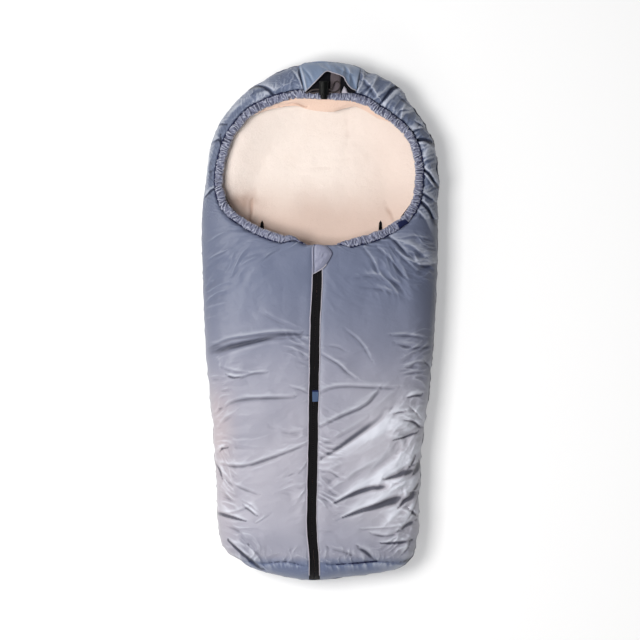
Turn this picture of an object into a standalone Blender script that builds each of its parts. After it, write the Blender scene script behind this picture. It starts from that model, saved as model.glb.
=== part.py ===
# Car seat footmuff: a padded sack that lies on its back, with a gathered hood and a front of two halves
# that part along a centre zip. Units are metres, +Y points to the head, +X to the wearer's left, +Z up.
# The origin is under the middle of the sack, on the surface that it lies on.

import bisect
import math

import bmesh
import bpy
from mathutils import Matrix, Vector

for old in list(bpy.data.objects):
    bpy.data.objects.remove(old, do_unlink=True)

# Outline, seen from above
LENGTH = 0.800
WIDTH = 0.364
FOOT_WIDTH = 0.308
HEAD_REACH = 0.245
HEAD_SQUARENESS = 2.3
TAPER_START = 0.270
TAPER_LENGTH = 0.438
FOOT_BOW = 0.5263
CORNER_SHARPNESS = 12.0
FOOT_ROUNDING = 0.085
FOOT_SEAM_RISE = 0.029

# Heights and layers
BACK_HEIGHT = 0.048
FRONT_LOFT = 0.062
FRONT_FULLNESS = 2.6
BACK_FULLNESS = 3.4
SHELL = 0.0016
WADDING = 0.0135
LINING = 0.0045
PLY_GAP = 0.0003
LAYER_GAP = 0.0006
LINING_GAP = 0.0012
SEAM_GAP = 0.0006
EDGE_EASE = 0.0005
LINING_SET_BACK = 0.0020

# Facets: the pads under a shell take every second line of its grid, so that they nest
BACK_GRID = (30, 8)
BACK_KNOTS = (2 / 30, 8 / 30, 20 / 30)
HOOD_GRID = (24, 6)
FRONT_GRID = (34, 12)
FOOT_KNOT = 4 / 34
TOE_KNOT = 8 / 34
ZIP_KNOT = 22 / 34
WAIST_DROP = 0.065

# Face opening, to the inner edge of its gathered band
HOOD_DEPTH = 0.058
HOOD_ROLL = 0.0345
OPENING_HEIGHT = 0.227
OPENING_TOP_SQUARENESS = 2.3
OPENING_LOW_SQUARENESS = 2.0
BAND = 0.0125
BAND_COVER = 0.004
HOOD_WALL_SHARE = 0.50
BAND_BORE = 0.0062
PUCKER_PITCH = 0.022
PUCKER_DEPTH = 0.0011
BAND_STOP = 0.023
BAND_END_SHARE = 0.35
BAND_END_RINGS = 4
BAND_SAMPLES = 200
RING_SIDES = 8

# Side hinges, along the side seams
HINGE_OUT = 0.0047

# Zip
ZIP_X = -0.0054
ZIP_LEAN = 0.0183
STRIP_WIDTH = 0.0147
TAPE = 0.0008
TAPE_SINK = 0.0012
TAPE_MARGIN = 0.0055
TAPE_PARTING = 0.0006
TAPE_FLARE = 0.0030
TAPE_FLARE_LENGTH = 0.018
TAPE_TOP_GAP = 0.004
TAPE_LOW_GAP = 0.010
TAPE_BENDS = 12
TEETH_LEAD = 0.001
TOOTH_PITCH = 0.0065
TOOTH_WIDTH = 0.0019
TOOTH_REACH = 0.0012
TOOTH_ROOT = 0.0016
TOOTH_SPINE = 0.0020
TOOTH_THICKNESS = 0.0022
RUNNING_GAP = 0.0004

# Slider and pull
SLIDER_LENGTH = 0.014
SLIDER_WIDTH = 0.0116
SLIDER_TAIL_WIDTH = 0.0104
SLIDER_PLATE = 0.0012
SLIDER_FLANGE = 0.0008
SLIDER_WEDGE = 0.0026
SLIDER_WEDGE_LENGTH = 0.0036
SLIDER_HEAD_ROOM = 0.0105
SLIDER_CORNER = 0.0010
SLIDER_NOSE_INSET = 0.0012
WEDGE_SET_BACK = 0.0006
WELD_BITE = 0.0002
BRIDGE_WIDTH = 0.0026
BRIDGE_THICKNESS = 0.0010
BRIDGE_SPAN = 0.0075
PULL_WIDTH = 0.0070
PULL_LENGTH = 0.0138
PULL_THICKNESS = 0.0014
PULL_WINDOW = 0.0058

# Garage petal at the chin
GARAGE_LENGTH = 0.046
GARAGE_WIDTH = 0.031
GARAGE_OVERHANG = 0.0145
GARAGE_EDGE_X = -0.0135
GARAGE_CLOTH = 0.0014
GARAGE_RISE = 0.0062
GARAGE_SEAT = 0.0005
GARAGE_TIP = 0.003
GARAGE_TOP_ANGLE = 45
GARAGE_TIP_LIFT = 0.15

# Toggle flap on the hood
FLAP_LEFT = -0.032
FLAP_RIGHT = 0.062
FLAP_INSET = 0.0020
FLAP_HEM_Y = 0.0455
FLAP_NOTCH = 0.0290
FLAP_NOTCH_X = 0.012
FLAP_NOTCH_SPREAD = 0.034
FLAP_CLOTH = 0.0014
FLAP_SEAT = 0.0014
FLAP_LIFT = 0.0100
FLAP_SIDE_DRAW = 0.009

# Cord lock and drawcord
LOCK_X = 0.006
LOCK_STAND_OFF = 0.0145
LOCK_DIAMETER = 0.0150
LOCK_LENGTH = 0.0215
CORD_SHIFT = -0.0040
LOCK_BORE = 0.0114
LOCK_FLOOR = 0.0020
LOCK_REST = 0.0006
LOOP_DROOP = 0.0115
CORD_ANCHOR = 0.004
CORD_EXIT = 0.002
SLIT_LENGTH = 0.0320
SLIT_START = 0.0005
CASED_STEPS = 9
CUTTER_OVERRUN = 0.002
BUTTON_END_WALL = 0.0016
BUTTON_STICK_OUT = 0.0060
BUTTON_TRAVEL = 0.0035
BUTTON_CLEARANCE = 0.0004
CORD = 0.0026
CORD_CLEARANCE = 0.0004
CORD_SPREAD = 0.0044
CORD_STEP_FREE = 0.0052
CORD_STEP_CASED = 0.013
SPRING_WIRE = 0.0008
SPRING_COILS = 3
COIL_POINTS = 10
FLAT_POINTS = 6

# Harness slots through the back
SLOT_X = 0.093
SLOT_TOP = 0.245
SLOT_LENGTH = 0.135
CROTCH_TOP = 0.470
CROTCH_LENGTH = 0.060
SLOT_CLEAR = 0.0056
BINDING = 0.0011
BINDING_LIP = 0.0022
BINDING_LIP_HEIGHT = 0.0008

# Small tabs
ZIP_TAB_RISE = 0.285
ZIP_TAB_LENGTH = 0.018
ZIP_TAB_WIDTH = 0.0100
ZIP_TAB_CLOTH = 0.0008
ZIP_TAB_OVERHANG = 0.0012
BAND_TAB_LENGTH = 0.013
BAND_TAB_WIDTH = 0.010
BAND_TAB_CLOTH = 0.0012
BAND_TAB_SEAT = 0.0004

HEAD_Y = LENGTH / 2
FOOT_Y = -LENGTH / 2
CHEST_Y = HEAD_Y - HEAD_REACH
TOE_Y = FOOT_Y + FOOT_ROUNDING
TAPER_TOP_Y = HEAD_Y - TAPER_START
FOOT_SEAM_Y = FOOT_Y + FOOT_SEAM_RISE
OPENING_WIDTH = WIDTH - 2 * HOOD_ROLL
OPENING_TOP_Y = HEAD_Y - HOOD_DEPTH
OPENING_Y = OPENING_TOP_Y - OPENING_HEIGHT / 2
CHIN_Y = OPENING_TOP_Y - OPENING_HEIGHT - BAND
CROTCH_Y = HEAD_Y - CROTCH_TOP
ZIP_TAB_Y = FOOT_Y + ZIP_TAB_RISE

LOCK_RADIUS = LOCK_DIAMETER / 2
LOCK_Y = OPENING_TOP_Y + LOCK_STAND_OFF
HINGE_SKEW = (WIDTH - FOOT_WIDTH) / 2 / TAPER_LENGTH
HINGE_X = WIDTH / 2 - TAPER_TOP_Y * HINGE_SKEW + HINGE_OUT
HINGE_Z = BACK_HEIGHT + SEAM_GAP / 2

SHELL_IN = SHELL
WADDING_OUT = SHELL_IN + LAYER_GAP
WADDING_IN = WADDING_OUT + WADDING
LINING_OUT = WADDING_IN + LINING_GAP
LINING_IN = LINING_OUT + LINING

TAPE_OUT = SHELL_IN + TAPE_SINK
TAPE_IN = TAPE_OUT + TAPE
TEETH_OUT = TAPE_IN + PLY_GAP
TEETH_IN = TEETH_OUT + TOOTH_THICKNESS

# Broad folds of the front cloth, as shares: the ends of each fold across the half width and along the half
# length, its half width along the half length, and its height over the front's loft
LEFT_FOLDS = (
    ((-0.923, -0.090), (-0.192, -0.040), 0.050, 0.065),
    ((-0.945, -0.148), (-0.121, -0.060), 0.035, 0.040),
    ((-0.797, -0.325), (-0.220, -0.283), 0.055, 0.048),
    ((-0.890, -0.538), (-0.121, -0.473), 0.050, 0.065),
    ((-0.775, -0.615), (-0.522, -0.658), 0.045, 0.048),
    ((-0.824, -0.743), (-0.467, -0.713), 0.045, 0.056),
    ((-0.824, 0.213), (-0.275, 0.125), 0.075, 0.040),
)
RIGHT_FOLDS = (
    ((0.374, 0.285), (0.714, 0.175), 0.045, 0.048),
    ((0.231, -0.033), (0.440, -0.145), 0.045, 0.048),
    ((0.632, -0.055), (0.912, -0.060), 0.050, 0.056),
    ((0.066, -0.263), (0.632, -0.260), 0.050, 0.048),
    ((0.137, -0.695), (0.780, -0.553), 0.045, 0.073),
    ((0.192, -0.753), (0.720, -0.665), 0.040, 0.056),
    ((0.330, -0.860), (0.769, -0.845), 0.040, 0.048),
)
FOLD_FADE_OUT = 0.10
FOLD_FADE_IN = 0.08

# The free cord at the lock, from the casing's slit round to the slit again: offsets along X and Y in lock
# diameters, and how far up from the casing to the lock, or down from the lock to the loop, each point lies
CORD_RISE = ((-0.567, 0.033, 0.22), (-0.800, 0.120, 0.58))
CORD_ENTRY = ((-0.567, -0.080, 0.93), (-0.200, 0.0, 1.0))
CORD_LOOP = ((0.200, 0.0, 0.0), (0.633, 0.033, 0.25), (1.033, 0.333, 0.65), (1.167, 0.800, 1.0),
             (0.900, 1.133, 1.0), (0.533, 1.000, 0.7))
CORD_RETURN = ((0.333, 0.200, 0.30), (0.120, 0.0, 0.05))
CORD_FALL = ((-0.200, 0.0, 1.0), (-0.700, -0.053, 0.94), (-1.200, -0.300, 0.62), (-1.500, -0.350, 0.20))

SHARP_ANGLE = math.radians(40)
SLOPE_STEP = 0.002


def material(name, color, roughness, metallic=0.0):
    made = bpy.data.materials.new(name)
    made.use_nodes = True
    shader = made.node_tree.nodes["Principled BSDF"]
    shader.inputs["Base Color"].default_value = (*color, 1.0)
    shader.inputs["Roughness"].default_value = roughness
    shader.inputs["Metallic"].default_value = metallic
    made.diffuse_color = (*color, 1.0)
    return made


def place(name, bm, look):
    """Turns a finished bmesh into the named object and gives it its own material."""
    bmesh.ops.recalc_face_normals(bm, faces=bm.faces[:])
    if bm.calc_volume(signed=True) < 0:
        bmesh.ops.reverse_faces(bm, faces=bm.faces[:])
    mesh = bpy.data.meshes.new(name)
    bm.to_mesh(mesh)
    bm.free()
    mesh.shade_smooth()
    mesh.set_sharp_from_angle(angle=SHARP_ANGLE)
    made = bpy.data.objects.new(name, mesh)
    bpy.context.scene.collection.objects.link(made)
    made.data.materials.append(material(name, *look))
    return made


NYLON = ((0.27, 0.31, 0.42), 0.38)
FLEECE = ((0.86, 0.76, 0.66), 0.95)
PADDING = ((0.90, 0.90, 0.88), 0.95)
BLACK_TAPE = ((0.012, 0.012, 0.015), 0.7)
BLACK_PLASTIC = ((0.015, 0.017, 0.016), 0.35)
DARK_METAL = ((0.10, 0.10, 0.11), 0.35, 1.0)
SPRING_STEEL = ((0.60, 0.60, 0.62), 0.30, 1.0)
CORD_CLOTH = ((0.17, 0.15, 0.15), 0.8)
TAB_BLUE = ((0.13, 0.29, 0.52), 0.7)
TAB_NAVY = ((0.02, 0.03, 0.09), 0.7)


def side_half_width(y):
    """Half the sack's width at y, before the foot end closes it."""
    if y > CHEST_Y:
        rise = min((y - CHEST_Y) / HEAD_REACH, 1.0)
        return WIDTH / 2 * (1 - rise ** HEAD_SQUARENESS) ** (1 / HEAD_SQUARENESS)
    step = min(max((TAPER_TOP_Y - y) / TAPER_LENGTH, 0.0), 1.0)
    eased = step * step * (3 - 2 * step)
    return (WIDTH + (FOOT_WIDTH - WIDTH) * eased) / 2


def half_width(y):
    """Half the sack's width at y: the sides, closed by a shallow arc with round corners at the foot."""
    side = side_half_width(y)
    if y > TOE_Y + FOOT_ROUNDING:
        return side
    arc = math.sqrt(max(y - FOOT_Y, 0.0) * FOOT_BOW)
    if arc == 0.0:
        return 0.0
    p = CORNER_SHARPNESS
    return (side ** -p + arc ** -p) ** (-1 / p)


def in_outline(x, y):
    return FOOT_Y < y < HEAD_Y and abs(x) < half_width(y)


def in_opening(x, y, grown=0.0):
    """Whether a point lies in the face opening, grown outwards by a margin."""
    across = abs(x) / (OPENING_WIDTH / 2 + grown)
    up = (y - OPENING_Y) / (OPENING_HEIGHT / 2 + grown)
    power = OPENING_TOP_SQUARENESS if up > 0 else OPENING_LOW_SQUARENESS
    return across ** power + abs(up) ** power < 1


def reach(inside, start_y, dx, dy):
    """How far a ray from (0, start_y) runs before it leaves a region."""
    low, high = 0.0, LENGTH
    for _ in range(40):
        middle = (low + high) / 2
        if inside(dx * middle, start_y + dy * middle):
            low = middle
        else:
            high = middle
    return low


def from_spine(x, y):
    """The spine point that a plan point belongs to, its distance, and the outline's distance that way."""
    spine_y = min(max(y, TOE_Y), CHEST_Y)
    dx, dy = x, y - spine_y
    away = math.hypot(dx, dy)
    if away < 1e-7:
        return spine_y, 0.0, half_width(spine_y)
    if spine_y == y:
        return spine_y, away, half_width(y)
    return spine_y, away, reach(in_outline, spine_y, dx / away, dy / away)


def front_z(x, y, depth):
    """Height of the front and the hood, a given depth under their outer face."""
    _, away, edge = from_spine(x, y)
    ratio = min(away / (edge - depth), 1.0)
    swell = (1 - ratio ** FRONT_FULLNESS) ** (1 / FRONT_FULLNESS)
    return BACK_HEIGHT + SEAM_GAP + (FRONT_LOFT - depth) * swell


def back_z(x, y, depth):
    """Height of the back, a given depth inside its outer face, flat where it lies on the floor."""
    _, away, edge = from_spine(x, y)
    ratio = min(away / (edge - depth), 1.0)
    swell = (1 - ratio ** BACK_FULLNESS) ** (1 / BACK_FULLNESS)
    return max(depth, BACK_HEIGHT - (BACK_HEIGHT + SHELL - depth) * swell)


def zip_x(y):
    return ZIP_X + ZIP_LEAN * (y - CHIN_Y)


class Path:
    """A plan line through points, read at knots that are matched to another line's knots."""

    def __init__(self, points, knots=()):
        self.points = points
        self.runs = [0.0]
        for a, b in zip(points, points[1:]):
            self.runs.append(self.runs[-1] + math.dist(a, b))
        self.knots = list(knots) or [(0.0, 0.0), (1.0, self.runs[-1])]

    def run_where(self, test):
        """The length along the line at which a test on its points first holds."""
        return next(run for run, point in zip(self.runs, self.points) if test(point))

    def run_between(self, i, share):
        """The length along the line at a share of the way from one of its points to the next."""
        return self.runs[i] + (self.runs[i + 1] - self.runs[i]) * share

    def at_run(self, run):
        i = min(max(bisect.bisect_right(self.runs, run) - 1, 0), len(self.points) - 2)
        span = self.runs[i + 1] - self.runs[i]
        f = 0.0 if span == 0 else min(max((run - self.runs[i]) / span, 0.0), 1.0)
        a, b = self.points[i], self.points[i + 1]
        return tuple(p + (q - p) * f for p, q in zip(a, b))

    def at(self, t):
        for (t0, run0), (t1, run1) in zip(self.knots, self.knots[1:]):
            if t <= t1:
                break
        return self.at_run(run0 + (run1 - run0) * (t - t0) / (t1 - t0))


def outline_half(depth, samples=900):
    """One half of the outline from the foot's middle to the head's middle, drawn in by a depth."""
    points = []
    for k in range(samples + 1):
        y = FOOT_Y + LENGTH * (1 - math.cos(math.pi * k / samples)) / 2
        x = half_width(y) if 0 < k < samples else 0.0
        spine_y = min(max(y, TOE_Y), CHEST_Y)
        away = math.hypot(x, y - spine_y)
        scale = (away - depth) / away
        points.append((x * scale, spine_y + (y - spine_y) * scale))
    return points


def opening_side(side, grown, samples=300):
    """The opening's edge from the chin up one side to the top, grown by a margin."""
    points = []
    for k in range(samples + 1):
        angle = math.pi * k / samples - math.pi / 2
        dx, dy = math.cos(angle), math.sin(angle)
        low, high = 0.0, WIDTH
        for _ in range(40):
            middle = (low + high) / 2
            if in_opening(dx * middle, OPENING_Y + dy * middle, grown):
                low = middle
            else:
                high = middle
        points.append((side * dx * low, OPENING_Y + dy * low))
    return points


def mapped_shell(name, columns, rows, outer, inner, look):
    """A closed cloth or pad: a grid extruded once, its two faces then laid on two surfaces."""
    bm = bmesh.new()
    bmesh.ops.create_grid(bm, x_segments=columns, y_segments=rows, size=0.5)
    flat = {v: (v.co.x + 0.5, v.co.y + 0.5) for v in bm.verts}
    grown = bmesh.ops.extrude_face_region(bm, geom=bm.faces[:], use_keep_orig=True)
    inside = {v for v in grown["geom"] if isinstance(v, bmesh.types.BMVert)}
    for v in inside:
        flat[v] = (v.co.x + 0.5, v.co.y + 0.5)
    for v in bm.verts:
        v.co = inner(*flat[v]) if v in inside else outer(*flat[v])
    bmesh.ops.remove_doubles(bm, verts=bm.verts[:], dist=1e-6)
    return place(name, bm, look)


def hang(name, spot, axis, pieces):
    """An empty on a joint's axis, its Y along it, that carries the pieces which turn about it."""
    empty = bpy.data.objects.new(name, None)
    bpy.context.scene.collection.objects.link(empty)
    turn = Vector((0, 1, 0)).rotation_difference(Vector(axis)).to_matrix().to_4x4()
    where = Matrix.Translation(spot) @ turn
    empty.matrix_world = where
    for piece in pieces:
        piece.parent = empty
        piece.matrix_parent_inverse = where.inverted()


def cut(target, cutter):
    """Cuts one solid from another with a Boolean that stays live."""
    cutter.hide_render = True
    cutter.display_type = "WIRE"
    made = target.modifiers.new(cutter.name, "BOOLEAN")
    made.operation = "DIFFERENCE"
    made.solver = "EXACT"
    made.object = cutter


def join(target, piece):
    """Joins a hidden solid to another with a Boolean union that stays live."""
    piece.hide_render = True
    piece.display_type = "WIRE"
    made = target.modifiers.new(piece.name, "BOOLEAN")
    made.operation = "UNION"
    made.solver = "EXACT"
    made.object = piece


def block(name, low, high, look, turn=None):
    """A box between two corners, turned about its place by an optional matrix."""
    bm = bmesh.new()
    size = [b - a for a, b in zip(low, high)]
    centre = [(a + b) / 2 for a, b in zip(low, high)]
    bmesh.ops.create_cube(bm, size=1.0)
    bmesh.ops.scale(bm, vec=size, verts=bm.verts[:])
    bmesh.ops.translate(bm, vec=centre, verts=bm.verts[:])
    if turn is not None:
        bmesh.ops.transform(bm, matrix=turn, verts=bm.verts[:])
    return place(name, bm, look)


def rim_spacing(j):
    """Rows crowd towards the side seam, where the cloth turns upright."""
    return j ** 1.8


def fold_height(side, x, y):
    """How far the main folds lift the front cloth at a plan point."""
    total = 0.0
    for (x0, y0), (x1, y1), half_share, height_share in (RIGHT_FOLDS if side > 0 else LEFT_FOLDS):
        start = Vector((x0 * WIDTH, y0 * LENGTH)) / 2
        along = Vector((x1 * WIDTH, y1 * LENGTH)) / 2 - start
        half = half_share * LENGTH / 2
        spot = Vector((x, y)) - start
        f = min(max(spot.dot(along) / along.length_squared, 0.0), 1.0)
        gap = (spot - along * f).length
        if gap < half:
            total += height_share * FRONT_LOFT * (0.5 + 0.5 * math.cos(math.pi * gap / half))
    return total


def back_outline(depth):
    """Half the outline, read at knots that crowd its points into the round corner at the foot."""
    path = Path(outline_half(depth))
    corner = path.run_where(lambda p: p[0] >= FOOT_WIDTH / 3)
    side = path.run_where(lambda p: p[1] >= TOE_Y)
    chest = path.run_where(lambda p: p[1] >= CHEST_Y)
    path.knots = list(zip((0.0, *BACK_KNOTS, 1.0), (0.0, corner, side, chest, path.runs[-1])))
    return path


def back_layer(name, outer_depth, inner_depth, rows, columns, look):
    """One layer of the back: half a tub from the rim to the spine, mirrored and welded."""
    outline = {d: back_outline(d) for d in (outer_depth, inner_depth)}

    def point(t, j, depth):
        x, y = outline[depth].at(t)
        spine_y = min(max(y, TOE_Y), CHEST_Y)
        w = rim_spacing(j)
        px, py = x * (1 - w), y + (spine_y - y) * w
        return (px, py, back_z(px, py, depth) if w > 0 else BACK_HEIGHT)

    bm = bmesh.new()
    bmesh.ops.create_grid(bm, x_segments=rows, y_segments=columns, size=0.5)
    flat = {v: (v.co.x + 0.5, v.co.y + 0.5) for v in bm.verts}
    grown = bmesh.ops.extrude_face_region(bm, geom=bm.faces[:], use_keep_orig=True)
    inside = {v for v in grown["geom"] if isinstance(v, bmesh.types.BMVert)}
    for v in inside:
        flat[v] = (v.co.x + 0.5, v.co.y + 0.5)
    for v in bm.verts:
        v.co = point(*flat[v], inner_depth if v in inside else outer_depth)
        if abs(v.co.x) < 1e-6:
            v.co.x = 0.0
    middle = [f for f in bm.faces if all(v.co.x == 0.0 for v in f.verts)]
    bmesh.ops.delete(bm, geom=middle, context="FACES")
    bmesh.ops.mirror(bm, geom=bm.verts[:] + bm.edges[:] + bm.faces[:], axis="X", merge_dist=1e-6)
    bmesh.ops.remove_doubles(bm, verts=bm.verts[:], dist=1e-6)
    return place(name, bm, look)


def front_paths(side, depth, zip_clear):
    """The outer and inner lines of one half of the front, matched at the foot seam and the zip's top."""
    half = outline_half(depth)
    start_x = zip_x(FOOT_Y) + side * zip_clear
    signed = [(-x, y) for x, y in reversed(half[1:])] + half
    if side < 0:
        signed.reverse()
    outer = Path(signed)
    start = outer.run_where(lambda p: side * p[0] >= side * start_x and p[1] < TOE_Y)
    foot_edge = outer.run_where(lambda p: side * p[0] > 0 and p[1] >= FOOT_SEAM_Y)
    toe_edge = outer.run_where(lambda p: side * p[0] > 0 and p[1] >= TOE_Y)
    waist = outer.run_where(lambda p: side * p[0] > 0 and p[1] >= CHIN_Y - WAIST_DROP)
    split = outer.run_where(lambda p: side * p[0] > 0 and p[1] >= CHEST_Y)
    outer.knots = [(0.0, start), (FOOT_KNOT, foot_edge), (TOE_KNOT, toe_edge), (ZIP_KNOT, waist),
                   (1.0, split)]
    edge = [p for p in opening_side(side, BAND + EDGE_EASE) if p[1] <= CHEST_Y]
    edge = [p for p in edge if side * p[0] > side * (zip_x(p[1]) + side * zip_clear)]
    foot_x, foot_y = outer.at_run(start)
    inner_points = [(foot_x, foot_y), (zip_x(FOOT_SEAM_Y) + side * zip_clear, FOOT_SEAM_Y)]
    inner_points += [(zip_x(edge[0][1]) + side * zip_clear, edge[0][1])] + edge
    inner = Path(inner_points)
    seam_run = inner.runs[1]
    top_run = inner.runs[2]
    toe_run = inner.run_between(1, (TOE_Y - FOOT_SEAM_Y) / (edge[0][1] - FOOT_SEAM_Y))
    foot_rows = round(FRONT_GRID[0] * FOOT_KNOT)
    shares = [k / foot_rows for k in range(foot_rows + 1)]
    inner.knots = [(FOOT_KNOT * share, seam_run * rim_spacing(share)) for share in shares]
    inner.knots += [(TOE_KNOT, toe_run), (ZIP_KNOT, top_run), (1.0, inner.runs[-1])]
    return outer, inner


def front_layer(name, side, depths, zip_clear, span, grid, look, folds=0.0):
    """One layer of one half of the front, between two values along its matched outer and inner lines."""
    lines = {depth: front_paths(side, depth, zip_clear) for depth in depths}
    t0, t1 = span
    low_edge = FOOT_SEAM_Y - SEAM_GAP / 2

    def point(u, j, depth):
        t = t0 + (t1 - t0) * u
        outer, inner = lines[depth]
        ox, oy = outer.at(t)
        ix, iy = inner.at(t)
        w = rim_spacing(j)
        x, y = ox + (ix - ox) * w, oy + (iy - oy) * w
        y = min(y, low_edge if t1 < 1.0 else CHEST_Y - SEAM_GAP)
        if t0 > 0.0:
            y = max(y, FOOT_SEAM_Y + SEAM_GAP / 2)
        if w == 0:
            return (x, y, BACK_HEIGHT + SEAM_GAP)
        lift = folds * fold_height(side, x, y) * min(w / FOLD_FADE_OUT, 1.0, (1 - w) / FOLD_FADE_IN)
        return (x, y, front_z(x, y, depth) + lift)

    return mapped_shell(name, *grid, lambda u, j: point(u, j, depths[0]),
                        lambda u, j: point(u, j, depths[1]), look)


def hood_depth(depth, room):
    """A layer's depth in the hood, whose wadding and lining thin out where the roll is narrow."""
    share = min((HOOD_WALL_SHARE * room - SHELL - LAYER_GAP - LINING_GAP) / (WADDING + LINING), 1.0)
    wadding_in = WADDING_OUT + WADDING * share
    lining_out = wadding_in + LINING_GAP
    thinned = {WADDING_IN: wadding_in, LINING_OUT: lining_out, LINING_IN: lining_out + LINING * share}
    return thinned.get(depth, depth)


def hood_layer(name, depths, grid, look):
    """One layer of the hood: a dome from the rim round the head to the edge of the face opening."""
    def point(u, j, depth):
        angle = math.pi * u
        dx, dy = math.cos(angle), math.sin(angle)
        edge = reach(in_outline, CHEST_Y, dx, dy)
        hole = reach(lambda x, y: in_opening(x, y, BAND + EDGE_EASE), CHEST_Y, dx, dy)
        own = hood_depth(depth, edge - hole)
        away = edge - own + (hole - edge + own) * rim_spacing(j)
        x, y = dx * away, max(CHEST_Y + dy * away, CHEST_Y)
        return (x, y, front_z(x, y, own) if j > 0 else BACK_HEIGHT + SEAM_GAP)

    return mapped_shell(name, *grid, lambda u, j: point(u, j, depths[0]),
                        lambda u, j: point(u, j, depths[1]), look)


def band_seat(x, y):
    """Middle height and thickness of the band where it wraps the edge of the opening beside a point."""
    dx, dy = x, y - OPENING_Y
    away = math.hypot(dx, dy)
    edge = reach(lambda px, py: in_opening(px, py, BAND), OPENING_Y, dx / away, dy / away)
    ex, ey = dx / away * edge, OPENING_Y + dy / away * edge
    inner_depth = LINING_IN
    if ey > CHEST_Y:
        hx, hy = ex, ey - CHEST_Y
        hole = math.hypot(hx, hy)
        inner_depth = hood_depth(LINING_IN, reach(in_outline, CHEST_Y, hx / hole, hy / hole) - hole)
    top, low = front_z(ex, ey, 0.0), front_z(ex, ey, inner_depth)
    return (top + low) / 2, top - low + BAND_COVER


def ring_sweep(name, line, section, look, bore=0.0, sides=RING_SIDES):
    """A gathered casing: rings along a line, every second one drawn in, with an optional bore."""
    count = len(line)
    bm = bmesh.new()

    def skin(size, inward):
        loops = []
        for i, centre in enumerate(line):
            along = (line[min(i + 1, count - 1)] - line[max(i - 1, 0)]).normalized()
            across = along.cross(Vector((0, 0, 1))).normalized()
            up = across.cross(along)
            wide, tall = size(i)
            ring = []
            for k in range(sides):
                a = 2 * math.pi * (k + 0.5) / sides
                ring.append(bm.verts.new(centre + across * wide * math.cos(a) + up * tall * math.sin(a)))
            loops.append(ring)
        for a, b in zip(loops, loops[1:]):
            for k in range(sides):
                quad = [a[k], a[(k + 1) % sides], b[(k + 1) % sides], b[k]]
                bm.faces.new(quad[::-1] if inward else quad)
        return loops

    outer = skin(section, False)
    if bore:
        hole = skin(lambda i: (bore / 2, bore / 2), True)
        for a, b in ((outer[0], hole[0]), (outer[-1], hole[-1])):
            for k in range(sides):
                bm.faces.new([a[k], a[(k + 1) % sides], b[(k + 1) % sides], b[k]])
    else:
        bm.faces.new(outer[0][::-1])
        bm.faces.new(outer[-1])
    return place(name, bm, look)


def band_points(path, first, last, count):
    """Points of the band's middle along a plan path, at the height of the edge that it wraps."""
    points = []
    for i in range(count):
        x, y = path.at_run(first + (last - first) * i / (count - 1))
        points.append(Vector((x, y, band_seat(x, y)[0])))
    return points


def pucker(point, i, tapers=False):
    """Half sizes of a ring of the band, drawn in at every second ring and tapered at a sewn end."""
    draw = PUCKER_DEPTH * (i % 2)
    fade = min(BAND_END_SHARE + i / BAND_END_RINGS, 1.0) if tapers else 1.0
    thickness = band_seat(point.x, point.y)[1]
    return ((BAND / 2 - PLY_GAP - draw) * fade, (thickness / 2 - draw) * fade)


def build_bands():
    half = BAND / 2
    rings = []
    for side in (1, -1):
        path = Path(opening_side(side, half))
        split = path.run_where(lambda p: p[1] >= CHEST_Y)
        rings.append((path, split))
    right = rings[0][0]
    hood = []
    for path, split in rings:
        span = path.runs[-1] - split
        rise = [path.at_run(split + span * k / BAND_SAMPLES) for k in range(BAND_SAMPLES + 1)]
        hood += rise if path is right else rise[-2::-1]
    hood[0] = (hood[0][0], CHEST_Y + SEAM_GAP)
    hood[-1] = (hood[-1][0], CHEST_Y + SEAM_GAP)
    whole = Path(hood)
    count = 2 * int(whole.runs[-1] / PUCKER_PITCH) + 1
    line = band_points(whole, 0.0, whole.runs[-1], count)
    band = ring_sweep("hood_band", line, lambda i: pucker(line[i], i), NYLON, bore=BAND_BORE)
    for side, (path, split), name in ((1, rings[0], "band_right"), (-1, rings[1], "band_left")):
        start = path.run_where(lambda p: side * p[0] >= BAND_STOP)
        end = split - 2 * SEAM_GAP
        n = 2 * int((end - start) / PUCKER_PITCH) + 1
        points = band_points(path, start, end, n)
        ring_sweep(name, points, lambda i: pucker(points[i], i, tapers=True), NYLON)
    return band, whole


def zip_track():
    """The zip's line down the front and over the foot, as y and z against the length run."""
    points = [(CHIN_Y, front_z(0.0, CHIN_Y, 0.0))]
    steps = 400
    for k in range(1, steps + 1):
        y = TOE_Y - FOOT_ROUNDING * math.sin(math.pi / 2 * k / steps)
        points.append((y, front_z(zip_x(y), max(y, FOOT_Y + PLY_GAP / 3), 0.0)))
    return Path(points)


def beside(x, y):
    """The y beside a point of the zip's line at which the front has the same height, round the foot too."""
    if y >= TOE_Y:
        return y
    _, away, edge = from_spine(zip_x(y), y)
    ratio = away / edge
    level = y
    for _ in range(4):
        _, _, own_edge = from_spine(x, level)
        level = TOE_Y - math.sqrt(max((ratio * own_edge) ** 2 - x * x, 0.0))
    return y + (level - y) * min((TOE_Y - y) / FOOT_ROUNDING, 1.0)


def on_track(track, run, offset, depth):
    """A point beside the zip's line, under the front's outer face by a depth."""
    y, z = track.at_run(run)
    ya, za = track.at_run(run - SLOPE_STEP)
    yb, zb = track.at_run(run + SLOPE_STEP)
    length = math.hypot(yb - ya, zb - za)
    inward = ((zb - za) / length, -(yb - ya) / length)
    x = zip_x(y) + offset
    return Vector((x, beside(x, y) - inward[0] * depth, z - abs(inward[1]) * depth))


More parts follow.
